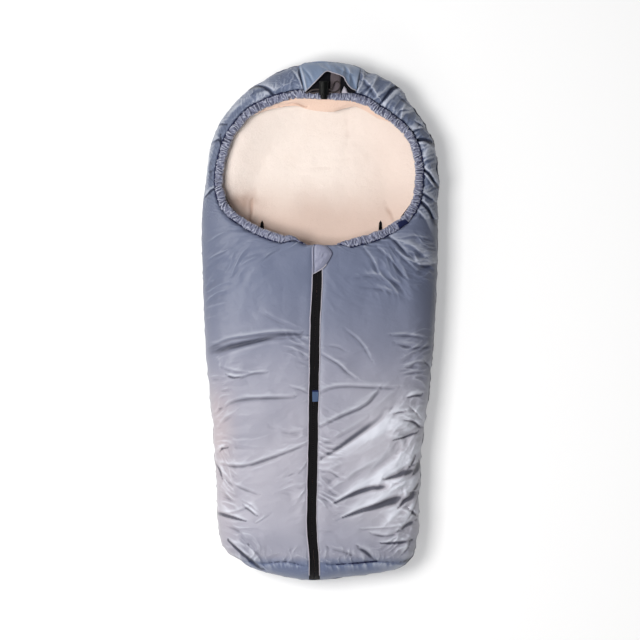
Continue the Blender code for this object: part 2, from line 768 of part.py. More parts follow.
def strip_solid(name, cells, track, depths, look):
    """A flat strip along the zip: quads given by offset and run, extruded through its thickness."""
    bm = bmesh.new()
    corner = {}

    def vertex(offset, run):
        key = (round(offset, 6), round(run, 6))
        if key not in corner:
            corner[key] = bm.verts.new((offset, run, 0.0))
        return corner[key]

    for quad in cells:
        bm.faces.new([vertex(*p) for p in quad])
    flat = {v: (v.co.x, v.co.y) for v in bm.verts}
    grown = bmesh.ops.extrude_face_region(bm, geom=bm.faces[:], use_keep_orig=True)
    inside = {v for v in grown["geom"] if isinstance(v, bmesh.types.BMVert)}
    for v in inside:
        flat[v] = (v.co.x, v.co.y)
    for v in bm.verts:
        offset, run = flat[v]
        v.co = on_track(track, run, offset, depths[1] if v in inside else depths[0])
    return place(name, bm, look)


def build_zip(track, slider_run):
    end = track.runs[-1] - TAPE_LOW_GAP
    straight = track.run_where(lambda p: p[0] <= TOE_Y)
    for side, name in ((1, "right"), (-1, "left")):
        inner_edge = side * TAPE_PARTING / 2
        outer_edge = side * (STRIP_WIDTH / 2 + TAPE_MARGIN)
        stops = [TAPE_TOP_GAP, TAPE_FLARE_LENGTH, straight]
        stops += [straight + (end - straight) * (k + 1) / TAPE_BENDS for k in range(TAPE_BENDS)]
        flare = [side * TAPE_FLARE] + [0.0] * (len(stops) - 1)
        cells = []
        for (a, fa), (b, fb) in zip(zip(stops, flare), zip(stops[1:], flare[1:])):
            cells.append(((inner_edge + fa, a), (inner_edge + fb, b), (outer_edge, b), (outer_edge, a)))
        strip_solid("zip_tape_" + name, cells, track, (TAPE_OUT, TAPE_IN), BLACK_TAPE)
        root = side * TOOTH_ROOT
        spine = side * (TOOTH_ROOT + TOOTH_SPINE)
        tip = -side * TOOTH_REACH
        first = slider_run + TEETH_LEAD + (TOOTH_PITCH / 2 if side > 0 else 0.0)
        count = int((end - first) / TOOTH_PITCH)
        cells = []
        for i in range(count):
            a = first + i * TOOTH_PITCH
            b = a + TOOTH_WIDTH
            c = a + TOOTH_PITCH
            cells.append(((tip, a), (tip, b), (root, b), (root, a)))
            cells.append(((root, a), (root, b), (root, c), (spine, c), (spine, a)))
        strip_solid("zip_teeth_" + name, cells, track, (TEETH_OUT, TEETH_IN), BLACK_PLASTIC)


def tapered_plate(name, low_z, high_z, look):
    """A slider plate: wide at the mouth, narrower at the tail, with its corners rounded."""
    bm = bmesh.new()
    half = SLIDER_LENGTH / 2
    shoulder = half - SLIDER_LENGTH / 3
    nose = SLIDER_WIDTH / 2 - SLIDER_NOSE_INSET
    tail = SLIDER_TAIL_WIDTH / 2
    outline = [(SLIDER_CORNER - tail, -half), (tail - SLIDER_CORNER, -half), (tail, SLIDER_CORNER - half),
               (SLIDER_WIDTH / 2, shoulder), (nose, half), (-nose, half), (-SLIDER_WIDTH / 2, shoulder),
               (-tail, SLIDER_CORNER - half)]
    base = bm.faces.new([bm.verts.new((x, y, low_z)) for x, y in outline])
    top = bmesh.ops.extrude_face_region(bm, geom=[base], use_keep_orig=True)
    risen = [v for v in top["geom"] if isinstance(v, bmesh.types.BMVert)]
    bmesh.ops.translate(bm, vec=(0, 0, high_z - low_z), verts=risen)
    return place(name, bm, look)


def build_slider(track, slider_run):
    y, face = track.at_run(slider_run)
    lean = Matrix.Rotation(-math.atan(ZIP_LEAN), 4, "Z")
    seat = Matrix.Translation((zip_x(y), y, face)) @ lean
    top_low = RUNNING_GAP - TAPE_OUT
    top_high = top_low + SLIDER_PLATE
    low_high = -TEETH_IN - RUNNING_GAP
    low_low = low_high - SLIDER_PLATE
    half = SLIDER_LENGTH / 2
    wedge_end = half - WEDGE_SET_BACK
    body = tapered_plate("zip_slider", top_low, top_high, DARK_METAL)
    pieces = [tapered_plate("slider_low_plate", low_low, low_high, DARK_METAL)]
    wedge_start = wedge_end - SLIDER_WEDGE_LENGTH
    pieces.append(block("slider_wedge", (-SLIDER_WEDGE / 2, wedge_start, low_high - WELD_BITE),
                        (SLIDER_WEDGE / 2, wedge_end, top_low + WELD_BITE), DARK_METAL))
    wall_out = SLIDER_TAIL_WIDTH / 2
    wall_in = wall_out - SLIDER_FLANGE
    wall_top = -TAPE_IN - RUNNING_GAP
    for side in (1, -1):
        low_x, high_x = sorted((side * wall_in, side * wall_out))
        pieces.append(block("slider_flange_%s" % ("right" if side > 0 else "left"),
                            (low_x, SLIDER_CORNER - half, low_high - WELD_BITE), (high_x, half / 2, wall_top),
                            DARK_METAL))
    bar = PULL_THICKNESS / 2
    axis_z = top_high + RUNNING_GAP + bar
    arch_low = axis_z + bar + RUNNING_GAP
    arch_high = arch_low + BRIDGE_THICKNESS
    reach_y = BRIDGE_SPAN / 2
    arch = block("slider_bridge", (-BRIDGE_WIDTH / 2, -reach_y, top_high - WELD_BITE),
                 (BRIDGE_WIDTH / 2, reach_y, arch_high), DARK_METAL)
    gap_y = bar + 2 * RUNNING_GAP
    tunnel = block("slider_bridge_gap", (-BRIDGE_WIDTH, -gap_y, top_high), (BRIDGE_WIDTH, gap_y, arch_low),
                   DARK_METAL)
    cut(arch, tunnel)
    pieces.append(arch)
    for piece in [body, tunnel] + pieces:
        piece.matrix_world = seat
    for piece in pieces:
        join(body, piece)
    window_half = BRIDGE_WIDTH / 2 + RUNNING_GAP
    pull = block("zip_pull", (-PULL_WIDTH / 2, -PULL_LENGTH, -bar), (PULL_WIDTH / 2, bar, bar), BLACK_PLASTIC)
    window = block("pull_window", (-window_half, -PULL_WINDOW, -PULL_THICKNESS),
                   (window_half, -bar, PULL_THICKNESS), BLACK_PLASTIC)
    cut(pull, window)
    edge = pull.modifiers.new("edge", "BEVEL")
    edge.width = PULL_THICKNESS / 5
    edge.segments = 1
    edge.limit_method = "ANGLE"
    hinge = seat @ Matrix.Translation((0.0, 0.0, axis_z))
    pull.matrix_world = hinge
    window.matrix_world = hinge


def build_garage(track):
    """The petal over the slider: sewn along its straight edge, domed, with its tip towards the feet."""
    top_y = CHIN_Y + GARAGE_OVERHANG

    def width(v):
        turn = math.radians(GARAGE_TOP_ANGLE + (180 - GARAGE_TOP_ANGLE) * v)
        return max(GARAGE_WIDTH * max(math.sin(turn), 0.0) ** 0.8, GARAGE_TIP)

    def point(u, v, over):
        y = top_y - GARAGE_LENGTH * v
        x = GARAGE_EDGE_X + width(v) * u
        across = math.sin(math.pi * min(max(u, 0.0), 1.0)) ** 0.6
        dome = across * math.sin(math.pi * min(GARAGE_TIP_LIFT + v, 1.0)) ** 0.5
        base = front_z(x, min(y, CHIN_Y), 0.0)
        return (x, y, base + GARAGE_SEAT + GARAGE_RISE * dome + over)

    return mapped_shell("zip_garage", 8, 10, lambda u, v: point(u, v, GARAGE_CLOTH),
                        lambda u, v: point(u, v, 0.0), NYLON)


def flap_top(x):
    """Where the toggle flap is sewn to the hood."""
    squared = 1 - (abs(x) / (WIDTH / 2)) ** HEAD_SQUARENESS
    return CHEST_Y + HEAD_REACH * squared ** (1 / HEAD_SQUARENESS) - FLAP_INSET


def build_toggle_flap():
    """The flap over the cord lock, sewn at the head end, its hem notched upwards over the lock."""
    def hem_depth(x):
        rise = max(1 - abs(x - FLAP_NOTCH_X) / FLAP_NOTCH_SPREAD, 0.0)
        return FLAP_HEM_Y - FLAP_NOTCH * rise ** 0.8

    def point(u, v, over):
        x = FLAP_LEFT + (FLAP_RIGHT - FLAP_LEFT) * u
        x += FLAP_SIDE_DRAW * v * (0.5 - u)
        y = flap_top(x) - (hem_depth(x) - FLAP_INSET) * v
        lifted = FLAP_LIFT * v * math.sin(math.pi * u) ** 0.8
        return (x, y, front_z(x, y, 0.0) + FLAP_SEAT + lifted + over)

    return mapped_shell("toggle_flap", 14, 6, lambda u, v: point(u, v, FLAP_CLOTH),
                        lambda u, v: point(u, v, 0.0), NYLON)


def tube(name, radius, y0, y1, look, sides=20):
    """A round bar along Y, about the origin."""
    bm = bmesh.new()
    bmesh.ops.create_cone(bm, cap_ends=True, segments=sides, radius1=radius, radius2=radius, depth=y1 - y0)
    bmesh.ops.rotate(bm, matrix=Matrix.Rotation(math.pi / 2, 3, "X"), verts=bm.verts[:])
    bmesh.ops.translate(bm, vec=(0, (y0 + y1) / 2, 0), verts=bm.verts[:])
    return place(name, bm, look)


def build_lock(band_top):
    """A barrel cord lock: a body with a blind bore, a button with a cross hole, and a coil spring."""
    z = band_top + LOCK_REST + LOCK_RADIUS
    seat = Matrix.Translation((LOCK_X, LOCK_Y, z))
    half = LOCK_LENGTH / 2
    hole = CORD + 2 * CORD_CLEARANCE
    body = tube("cord_lock", LOCK_RADIUS, -half, half, BLACK_PLASTIC)
    edge = body.modifiers.new("edge", "BEVEL")
    edge.width = LOCK_RADIUS / 6
    edge.segments = 2
    edge.limit_method = "ANGLE"
    bore = tube("lock_bore", LOCK_BORE / 2, -half - CUTTER_OVERRUN, half - LOCK_FLOOR, BLACK_PLASTIC)
    cross_low = CORD_SHIFT - CORD_SPREAD / 2 - hole / 2
    cross_high = CORD_SHIFT + CORD_SPREAD / 2 + hole / 2
    cross = block("lock_cross_hole", (-LOCK_DIAMETER, cross_low, -hole / 2),
                  (LOCK_DIAMETER, cross_high, hole / 2), BLACK_PLASTIC)
    for piece in (bore, cross):
        cut(body, piece)
    button_end = cross_high + BUTTON_END_WALL
    button = tube("lock_button", LOCK_BORE / 2 - BUTTON_CLEARANCE, -half - BUTTON_STICK_OUT, button_end,
                  BLACK_PLASTIC)
    crown = button.modifiers.new("crown", "BEVEL")
    crown.width = LOCK_BORE / 12
    crown.segments = 2
    crown.limit_method = "ANGLE"
    slot = block("button_slot", (-LOCK_DIAMETER, cross_low - BUTTON_TRAVEL, -hole / 2),
                 (LOCK_DIAMETER, cross_high, hole / 2), BLACK_PLASTIC)
    cut(button, slot)
    for piece in (body, bore, cross, button, slot):
        piece.matrix_world = seat
    spring_from = button_end + RUNNING_GAP
    spring_to = half - LOCK_FLOOR - RUNNING_GAP
    wire = SPRING_WIRE / 2
    coil_radius = LOCK_BORE / 2 - 2 * SPRING_WIRE
    steps = SPRING_COILS * COIL_POINTS
    points = []
    for i in range(steps + 1):
        a = 2 * math.pi * SPRING_COILS * i / steps
        rise = min(max((i - FLAT_POINTS) / (steps - 2 * FLAT_POINTS), 0.0), 1.0)
        y = spring_from + wire + (spring_to - spring_from - 2 * wire) * rise
        points.append((coil_radius * math.cos(a), y, coil_radius * math.sin(a)))
    round_cord("lock_spring", points, SPRING_WIRE, SPRING_STEEL, seat, resolution=1)
    return z


def round_cord(name, points, diameter, look, seat=None, resolution=2):
    """A round cord or wire along given points, with filled ends."""
    curve = bpy.data.curves.new(name, "CURVE")
    curve.dimensions = "3D"
    curve.bevel_depth = diameter / 2
    curve.bevel_resolution = resolution
    curve.use_fill_caps = True
    curve.resolution_u = 1
    curve.render_resolution_u = 0
    spline = curve.splines.new("POLY")
    spline.points.add(len(points) - 1)
    for spot, point in zip(spline.points, points):
        spot.co = (*point, 1.0)
    made = bpy.data.objects.new(name, curve)
    bpy.context.scene.collection.objects.link(made)
    curve.materials.append(material(name, *look))
    if seat is not None:
        made.matrix_world = seat
    return made


def smooth_route(points, step):
    """Evenly spaced points on a smooth curve through the given ones."""
    fine = []
    ends = [2 * points[0] - points[1]] + points + [2 * points[-1] - points[-2]]
    for p0, p1, p2, p3 in zip(ends, ends[1:], ends[2:], ends[3:]):
        for k in range(16):
            f = k / 16
            fine.append(0.5 * (2 * p1 + (p2 - p0) * f + (2 * p0 - 5 * p1 + 4 * p2 - p3) * f * f
                               + (3 * p1 - p0 - 3 * p2 + p3) * f ** 3))
    fine.append(points[-1])
    path = Path([tuple(p) for p in fine])
    count = max(int(path.runs[-1] / step), 2)
    return [path.at_run(path.runs[-1] * k / count) for k in range(count + 1)]


def build_drawcord(band_path, lock_z):
    """The drawcord: sewn in at the casing's right end, out of the slit, through the lock, and back."""
    total = band_path.runs[-1]
    middle = total / 2

    def casing(run):
        x, y = band_path.at_run(run)
        return Vector((x, y, band_seat(x, y)[0]))

    def cased(start, end):
        return [casing(start + (end - start) * k / CASED_STEPS) for k in range(CASED_STEPS + 1)]

    front = LOCK_Y + CORD_SHIFT - CORD_SPREAD / 2
    behind = LOCK_Y + CORD_SHIFT + CORD_SPREAD / 2
    leave = LOCK_X - LOCK_RADIUS
    arrive = LOCK_X + LOCK_RADIUS
    low = casing(middle).z
    mid_y = casing(middle).y
    rise = lock_z - low

    def beside_lock(edge_x, base_y, offsets, from_z, height):
        base = Vector((edge_x, base_y, from_z))
        return [base + Vector((across * LOCK_DIAMETER, along * LOCK_DIAMETER, height * share))
                for across, along, share in offsets]

    right = cased(CORD_ANCHOR, middle - CORD_EXIT)
    up = beside_lock(leave, mid_y, CORD_RISE, low, rise) + beside_lock(leave, front, CORD_ENTRY, low, rise)
    loop = [Vector((LOCK_X, front, lock_z))] + beside_lock(arrive, front, CORD_LOOP, lock_z, -LOOP_DROOP)
    loop += beside_lock(arrive, behind, CORD_RETURN, lock_z, -LOOP_DROOP)
    back = [Vector((LOCK_X, behind, lock_z))] + beside_lock(leave, behind, CORD_FALL, low, rise)
    left = cased(middle - leave + SLIT_LENGTH - CORD_EXIT, total - CORD_ANCHOR)
    out = smooth_route([right[-1]] + up + loop + back + [left[0]], CORD_STEP_FREE)
    points = smooth_route(right, CORD_STEP_CASED)[:-1] + out + smooth_route(left, CORD_STEP_CASED)[1:]
    round_cord("drawcord", points, CORD, CORD_CLOTH)


def cut_band_slit(band, band_path):
    """The slit at the top of the casing that the drawcord comes out of."""
    x, y = band_path.at_run(band_path.runs[-1] / 2)
    low, thickness = band_seat(x, y)
    leave = LOCK_X - LOCK_RADIUS
    slit = block("casing_slit", (leave - SLIT_LENGTH, y - BAND_BORE / 2, low),
                 (leave - SLIT_START, y + BAND / 2 + CUTTER_OVERRUN, low + thickness), NYLON)
    cut(band, slit)


def stadium(half_width_x, half_length, sides=6):
    """Plan points of a slot with round ends, lying along Y."""
    points = []
    for end in (1, -1):
        for k in range(sides + 1):
            a = math.pi * k / sides
            px, py = half_width_x * math.cos(a), half_length + half_width_x * math.sin(a)
            points.append((end * px, end * py))
    return points


def slot_cutter(name, x, y, length):
    """A prism for the slot through every layer of the back, with room for its binding."""
    bm = bmesh.new()
    half = SLOT_CLEAR / 2 + BINDING + PLY_GAP
    base = bm.faces.new([bm.verts.new((px, py, -CUTTER_OVERRUN)) for px, py in stadium(half, length / 2)])
    top = bmesh.ops.extrude_face_region(bm, geom=[base], use_keep_orig=True)
    risen = [v for v in top["geom"] if isinstance(v, bmesh.types.BMVert)]
    bmesh.ops.translate(bm, vec=(0, 0, BACK_HEIGHT), verts=risen)
    made = place(name, bm, BLACK_TAPE)
    made.matrix_world = Matrix.Translation((x, y, 0))
    return made


def slot_binding(name, x, y, length):
    """The binding of a slot: a tape ring through the back with a lip on the fleece."""
    top = back_z(abs(x) + SLOT_CLEAR, y, LINING_IN) + 4 * PLY_GAP
    wall = [(0.0, PLY_GAP), (BINDING, PLY_GAP), (BINDING, top), (BINDING + BINDING_LIP, top),
            (BINDING + BINDING_LIP, top + BINDING_LIP_HEIGHT), (0.0, top + BINDING_LIP_HEIGHT)]
    bm = bmesh.new()
    loops = []
    for out, z in wall:
        ring = stadium(SLOT_CLEAR / 2 + out, length / 2)
        loops.append([bm.verts.new((px, py, z)) for px, py in ring])
    count = len(loops[0])
    for a, b in zip(loops, loops[1:] + loops[:1]):
        for k in range(count):
            bm.faces.new([a[k], a[(k + 1) % count], b[(k + 1) % count], b[k]])
    made = place(name, bm, BLACK_TAPE)
    made.matrix_world = Matrix.Translation((x, y, 0))
    return made


def build_slots(layers):
    shoulder_y = HEAD_Y - SLOT_TOP - SLOT_LENGTH / 2
    places = (("harness_binding_right", SLOT_X, shoulder_y, SLOT_LENGTH),
              ("harness_binding_left", -SLOT_X, shoulder_y, SLOT_LENGTH),
              ("crotch_binding", 0.0, CROTCH_Y, CROTCH_LENGTH))
    for name, x, y, length in places:
        cutter = slot_cutter(name + "_cut", x, y, length - SLOT_CLEAR)
        for layer in layers:
            cut(layer, cutter)
        slot_binding(name, x, y, length - SLOT_CLEAR)


def band_top(path, run):
    """A point just over the flat top of the band's ring."""
    x, y = path.at_run(run)
    middle, thickness = band_seat(x, y)
    return Vector((x, y, middle + thickness / 2 * math.cos(math.pi / RING_SIDES) + BAND_TAB_SEAT))


def build_tabs(track):
    run = CHIN_Y - ZIP_TAB_Y
    right_edge = STRIP_WIDTH / 2 + ZIP_TAB_OVERHANG
    left_edge = right_edge - ZIP_TAB_WIDTH
    first, last = run - ZIP_TAB_LENGTH / 2, run + ZIP_TAB_LENGTH / 2
    cells = (((left_edge, first), (right_edge, first), (right_edge, last), (left_edge, last)),)
    strip_solid("zip_tab", cells, track, (-PLY_GAP - ZIP_TAB_CLOTH, -PLY_GAP), TAB_BLUE)
    path = Path(opening_side(1, BAND / 2))
    spot = path.run_where(lambda p: p[1] >= CHEST_Y) - BAND_TAB_LENGTH / 2 - 2 * SEAM_GAP
    low, centre, high = [band_top(path, spot + step * BAND_TAB_LENGTH / 3) for step in (-1, 0, 1)]
    along = (high - low).normalized()
    across = Vector((0, 0, 1)).cross(along).normalized()
    turn = Matrix((along, across, along.cross(across))).transposed().to_4x4()
    seat = Matrix.Translation(centre) @ turn
    half_x, half_y = BAND_TAB_LENGTH / 2, BAND_TAB_WIDTH / 2
    block("band_tab", (-half_x, -half_y, 0), (half_x, half_y, BAND_TAB_CLOTH), TAB_NAVY, turn=seat)


def hang_pieces():
    """Gives each turning group an empty on its joint's axis."""
    made = bpy.data.objects
    halves = ("front_%s_shell", "front_%s_wadding", "front_%s_lining", "foot_panel_%s", "band_%s",
              "zip_tape_%s", "zip_teeth_%s")
    left = [made[n % "left"] for n in halves]
    right = [made[n % "right"] for n in halves] + [made["zip_tab"], made["band_tab"]]
    hang("left_hinge", (-HINGE_X, 0, HINGE_Z), (HINGE_SKEW, -1, 0), left)
    hang("right_hinge", (HINGE_X, 0, HINGE_Z), (HINGE_SKEW, 1, 0), right)
    garage_z = front_z(GARAGE_EDGE_X, CHIN_Y, 0.0) + GARAGE_SEAT + GARAGE_CLOTH / 2
    hang("garage_hinge", (GARAGE_EDGE_X, CHIN_Y, garage_z), (0, -1, 0), [made["zip_garage"]])
    flap_x = (FLAP_LEFT + FLAP_RIGHT) / 2
    flap_y = flap_top(flap_x)
    flap_z = front_z(flap_x, flap_y, 0.0) + FLAP_SEAT + FLAP_CLOTH / 2
    hang("flap_hinge", (flap_x, flap_y, flap_z), (-1, 0, 0), [made["toggle_flap"]])


def main():
    under = tuple(n // 2 for n in BACK_GRID)
    back = [back_layer("back_shell", 0.0, SHELL_IN, *BACK_GRID, NYLON),
            back_layer("back_wadding", WADDING_OUT, WADDING_IN, *under, PADDING),
            back_layer("back_lining", LINING_OUT, LINING_IN, *under, FLEECE)]
    build_slots(back)
    hood_under = (HOOD_GRID[0], HOOD_GRID[1] // 2)
    hood_layer("hood_shell", (0.0, SHELL_IN), HOOD_GRID, NYLON)
    hood_layer("hood_wadding", (WADDING_OUT, WADDING_IN), hood_under, PADDING)
    hood_layer("hood_lining", (LINING_OUT, LINING_IN), hood_under, FLEECE)
    edge = STRIP_WIDTH / 2
    rows, columns = FRONT_GRID
    foot_rows = round(rows * FOOT_KNOT)
    under = (rows // 2, columns // 2)
    for side, name in ((1, "right"), (-1, "left")):
        front_layer("front_%s_shell" % name, side, (0.0, SHELL_IN), edge, (FOOT_KNOT, 1.0),
                    (rows - foot_rows, columns), NYLON, folds=1.0)
        front_layer("foot_panel_" + name, side, (0.0, SHELL_IN), edge, (0.0, FOOT_KNOT), (foot_rows, columns),
                    NYLON)
        front_layer("front_%s_wadding" % name, side, (WADDING_OUT, WADDING_IN), edge + TAPE_MARGIN + SEAM_GAP,
                    (0.0, 1.0), under, PADDING)
        front_layer("front_%s_lining" % name, side, (LINING_OUT, LINING_IN), edge + LINING_SET_BACK,
                    (0.0, 1.0), under, FLEECE)
    band, band_path = build_bands()
    track = zip_track()
    slider_run = SLIDER_HEAD_ROOM
    build_zip(track, slider_run)
    build_slider(track, slider_run)
    build_garage(track)
    build_toggle_flap()
    x, y = band_path.at_run(band_path.runs[-1] / 2)
    middle, thickness = band_seat(x, y)
    lock_z = build_lock(middle + thickness / 2)
    cut_band_slit(band, band_path)
    build_drawcord(band_path, lock_z)
    build_tabs(track)
    hang_pieces()


main()
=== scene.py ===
import math

import bmesh
import bpy
import numpy as np
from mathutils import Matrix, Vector, noise


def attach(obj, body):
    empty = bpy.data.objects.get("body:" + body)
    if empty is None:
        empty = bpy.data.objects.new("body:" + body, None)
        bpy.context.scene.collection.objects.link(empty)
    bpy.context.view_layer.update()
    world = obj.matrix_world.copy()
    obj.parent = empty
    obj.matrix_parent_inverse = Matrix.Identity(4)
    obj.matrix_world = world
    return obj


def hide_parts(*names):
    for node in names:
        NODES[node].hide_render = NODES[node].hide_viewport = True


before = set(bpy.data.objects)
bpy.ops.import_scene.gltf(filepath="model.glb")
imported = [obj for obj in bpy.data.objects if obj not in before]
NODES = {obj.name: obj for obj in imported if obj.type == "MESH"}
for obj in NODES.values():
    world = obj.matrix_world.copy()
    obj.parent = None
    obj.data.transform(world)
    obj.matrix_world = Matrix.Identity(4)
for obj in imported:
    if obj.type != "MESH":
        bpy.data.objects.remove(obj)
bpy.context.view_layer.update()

MM = 0.001
SIDES = {-1: "left", 1: "right"}

# Places in the picture are given in pixels: the size of one, and the pixel that lies over the frame's origin
PX = 1.544 * MM
ORIGIN_X_PX = 320
ORIGIN_Y_PX = 320.8
PICTURE_PX = 640

# Outline of the sack from above, in metres
LENGTH = 0.800
WIDTH = 0.364
FOOT_WIDTH = 0.308
HEAD_REACH = 0.245
HEAD_POWER = 2.3
FOOT_ARC = 1.9
CORNER_POWER = 12.0
TAPER_TOP_Y = 0.130
TAPER_LENGTH = 0.438
HEAD_Y = 0.400
CHEST_Y = 0.155
CHIN_Y = 0.1025
TOE_Y = -0.315
ROUNDING = 0.085
FOOT_SEAM_Y = -0.371
FOOT_Y = -0.400

# Heights
SEAM_Z = 0.0483
LOFT = 0.062
FRONT_FULLNESS = 2.6
BACK_HEIGHT = 0.048
BACK_FULLNESS = 3.4
SHELL_CLOTH = 0.0016
LINING_DEPTH = 0.0214

# Gathered band and zip
BAND = 0.0125
BAND_SINK = 0.0068
FACE_MIDDLE = (0, 0.2285)
ZIP_X = -0.0054
ZIP_LEAN = 0.0183
STRIP = 0.0147

# Harness slots: middle in x, lower and upper end in y
SLOT_RIGHT = (0.0935, 0.0225, 0.1535)
SLOT_LEFT = (-0.0895, 0.0225, 0.1535)
SLOT_CROTCH = (0.0, -0.0985, -0.0415)
SLOTS = (SLOT_RIGHT, SLOT_LEFT, SLOT_CROTCH)

# How the side seams stand from the even outline as the cloth bulges: y, wearer's right, wearer's left
BULGE = np.array([
    (-0.400, 1.00, 1.30), (-0.385, 1.07, 1.27), (-0.369, 0.975, 1.08), (-0.354, 0.993, 0.99),
    (-0.338, 1.009, 0.982), (-0.300, 1.025, 1.004), (-0.277, 1.030, 1.008), (-0.240, 1.026, 0.994),
    (-0.200, 1.033, 0.985), (-0.160, 1.022, 1.000), (-0.122, 1.030, 1.012), (-0.060, 1.028, 1.013),
    (0.000, 1.014, 1.008), (0.063, 1.002, 1.002), (0.125, 1.004, 0.998), (0.155, 1.002, 1.000),
    (0.186, 0.992, 0.996), (0.217, 0.983, 1.034), (0.248, 0.995, 1.058), (0.279, 1.010, 1.074),
    (0.310, 1.008, 1.085), (0.341, 0.968, 1.040), (0.372, 0.860, 1.100), (0.387, 0.830, 1.010),
    (0.400, 0.820, 1.000),
])

# Lumps and dents of the outline: x, y, reach and height, in mm
LUMPS = [
    (-108, 352, 11, 3.4), (-88, 364, 6, -1.5), (-58, 386, 12, -2.6), (-38, 391, 10, -3.6),
    (73, 383, 7, -4.5), (98, 372, 12, -2.5), (154, 324, 22, -6.0), (171, 298, 18, -6.5),
    (178, 262, 14, -4.0), (184, 235, 14, -5.5), (10, -400, 40, 1.4), (28, -399, 24, -4.0),
    (66, -392, 22, -2.5), (155, -270, 12, -4.0), (154, -296, 10, -2.0),
]

# Inner edge of the gathered band, from the chin by the wearer's right and over the head to the chin, in mm
RIM = [
    (-22, 118), (-40, 129), (-62, 133), (-90, 143), (-111, 154), (-136, 173), (-147.5, 196),
    (-149, 225), (-143.5, 253), (-133, 282), (-109, 312), (-84, 327), (-60, 336), (-34, 342), (0, 341),
    (33, 339), (62, 334), (86, 320), (112, 302), (131, 283), (142, 260), (146.5, 231), (145, 204),
    (139, 179), (123.5, 158.5), (100, 143), (79, 134), (48, 126), (26, 118),
]

# Creases: a line in pixels, its width in pixels or one for each end, and its ridge and valley in mm
LEFT_CREASES = [
    ([(209, 346), (228, 338), (252, 334), (275, 331), (300, 331)], 5, 2.2, 1.8),
    ([(306, 336), (279, 338), (262, 342), (240, 349), (225, 354), (207, 360)], (4, 10), 1.6, 2.6),
    ([(224, 367), (236, 370), (247, 371)], 4, 1.2, 1.6),
    ([(238, 378), (252, 372), (266, 371)], 4, 1.4, 1.6),
    ([(222, 406), (235, 399), (255, 396), (293, 395)], 5, 1.8, 2.2),
    ([(294, 349), (302, 352), (310, 358)], 2.5, 1.2, 1.2),
    ([(292, 386), (301, 388), (309, 392)], 3, 1.4, 1.2),
    ([(213, 459), (228, 463), (245, 463), (262, 458), (285, 450), (307, 441)], 5, 2.2, 2.4),
    ([(229, 480), (243, 486), (259, 492)], 4, 1.0, 1.4),
    ([(244, 500), (251, 503), (257, 508)], 3, 1.0, 1.2),
    ([(218, 511), (234, 510), (248, 505)], 4, 1.6, 1.2),
    ([(262, 562), (256, 553), (250, 546)], 5, 1.6, 2.4),
    ([(226, 520), (240, 528), (248, 540)], 5, 1.2, 1.4),
    ([(262, 516), (256, 521), (270, 512)], 3, 0.8, 0.8),
    ([(205, 262), (214, 256), (226, 251)], 4, 2.0, 1.0),
    ([(206, 244), (216, 237), (226, 232)], 4, 1.6, 1.0),
    ([(232, 276), (246, 262), (262, 256)], 5, 1.0, 0.8),
    ([(264, 259), (270, 254), (278, 250)], 3, 1.2, 0.8),
    ([(262, 310), (276, 318), (296, 326)], 6, 0.9, 0.9),
    ([(214, 430), (224, 418), (236, 410)], 6, 1.6, 1.0),
    ([(221, 438), (238, 444), (262, 446)], 7, 0.9, 1.0),
    ([(214, 452), (222, 446), (226, 452)], 3, 1.6, 1.2),
    ([(218, 470), (224, 478), (220, 490)], 3, 1.8, 1.6),
    ([(214, 482), (222, 486), (230, 496)], 3, 1.2, 1.4),
    ([(300, 470), (306, 462), (309, 452)], 3, 1.2, 0.8),
    ([(302, 492), (307, 484), (309, 474)], 3, 1.0, 0.8),
    ([(272, 424), (290, 430), (306, 428)], 6, 0.8, 0.8),
]
RIGHT_CREASES = [
    ([(364, 247), (372, 258), (380, 274)], 4, 1.8, 1.4),
    ([(378, 247), (390, 258), (404, 275)], 4, 1.8, 1.6),
    ([(396, 250), (408, 262), (417, 270)], 3.5, 2.0, 1.8),
    ([(414, 262), (424, 260), (436, 263)], 3, 2.4, 1.6),
    ([(400, 238), (416, 236), (434, 241)], 3.5, 1.6, 1.4),
    ([(352, 276), (376, 274), (400, 282)], 6, 1.0, 0.8),
    ([(360, 285), (384, 288), (410, 298)], 6, 1.0, 1.0),
    ([(347, 329), (358, 338), (366, 348), (372, 359)], 4, 1.2, 1.2),
    ([(321, 352), (338, 362), (348, 371), (356, 377)], 4, 1.6, 1.8),
    ([(326, 344), (338, 346), (346, 350)], 3, 0.8, 0.8),
    ([(392, 334), (408, 334), (427, 337)], 4, 2.2, 1.8),
    ([(396, 342), (412, 346), (430, 345)], 4, 1.4, 1.4),
    ([(408, 366), (417, 361), (428, 362)], 3, 2.0, 1.4),
    ([(319, 391), (330, 386), (345, 384), (370, 385), (396, 386)], 5, 1.8, 1.8),
    ([(320, 424), (340, 414), (364, 403), (378, 388)], 5, 2.0, 2.4),
    ([(322, 440), (345, 430), (366, 417)], 6, 1.0, 1.2),
    ([(362, 527), (380, 526), (398, 525)], 3, 1.4, 1.4),
    ([(330, 545), (348, 550), (367, 559)], 5, 1.2, 1.8),
    ([(322, 468), (332, 470), (342, 476)], 4, 1.2, 1.4),
]
HOOD_CREASES = [
    ([(304, 92), (300, 80), (297, 68)], 3, 1.0, 5.0),
    ([(360, 70), (358, 82), (357, 92)], 3, 1.2, 3.0),
    ([(211, 158), (217, 134), (230, 113), (249, 97)], 9, 2.8, 3.2),
    ([(207, 196), (208, 176), (212, 158)], 7, 2.2, 2.8),
    ([(218, 178), (219, 160), (226, 140)], 5, 1.4, 2.2),
    ([(236, 118), (246, 108), (262, 100)], 5, 1.6, 2.0),
    ([(364, 78), (372, 88), (378, 98)], 6, 3.0, 2.2),
    ([(208, 172), (214, 168), (220, 164)], 4, 1.0, 1.0),
    ([(214, 142), (222, 136), (228, 132)], 4, 1.0, 1.0),
    ([(228, 114), (236, 108), (244, 104)], 5, 1.2, 1.0),
    ([(262, 100), (272, 92), (290, 84)], 6, 1.4, 1.2),
    ([(362, 92), (370, 84), (378, 78)], 5, 1.6, 1.6),
]
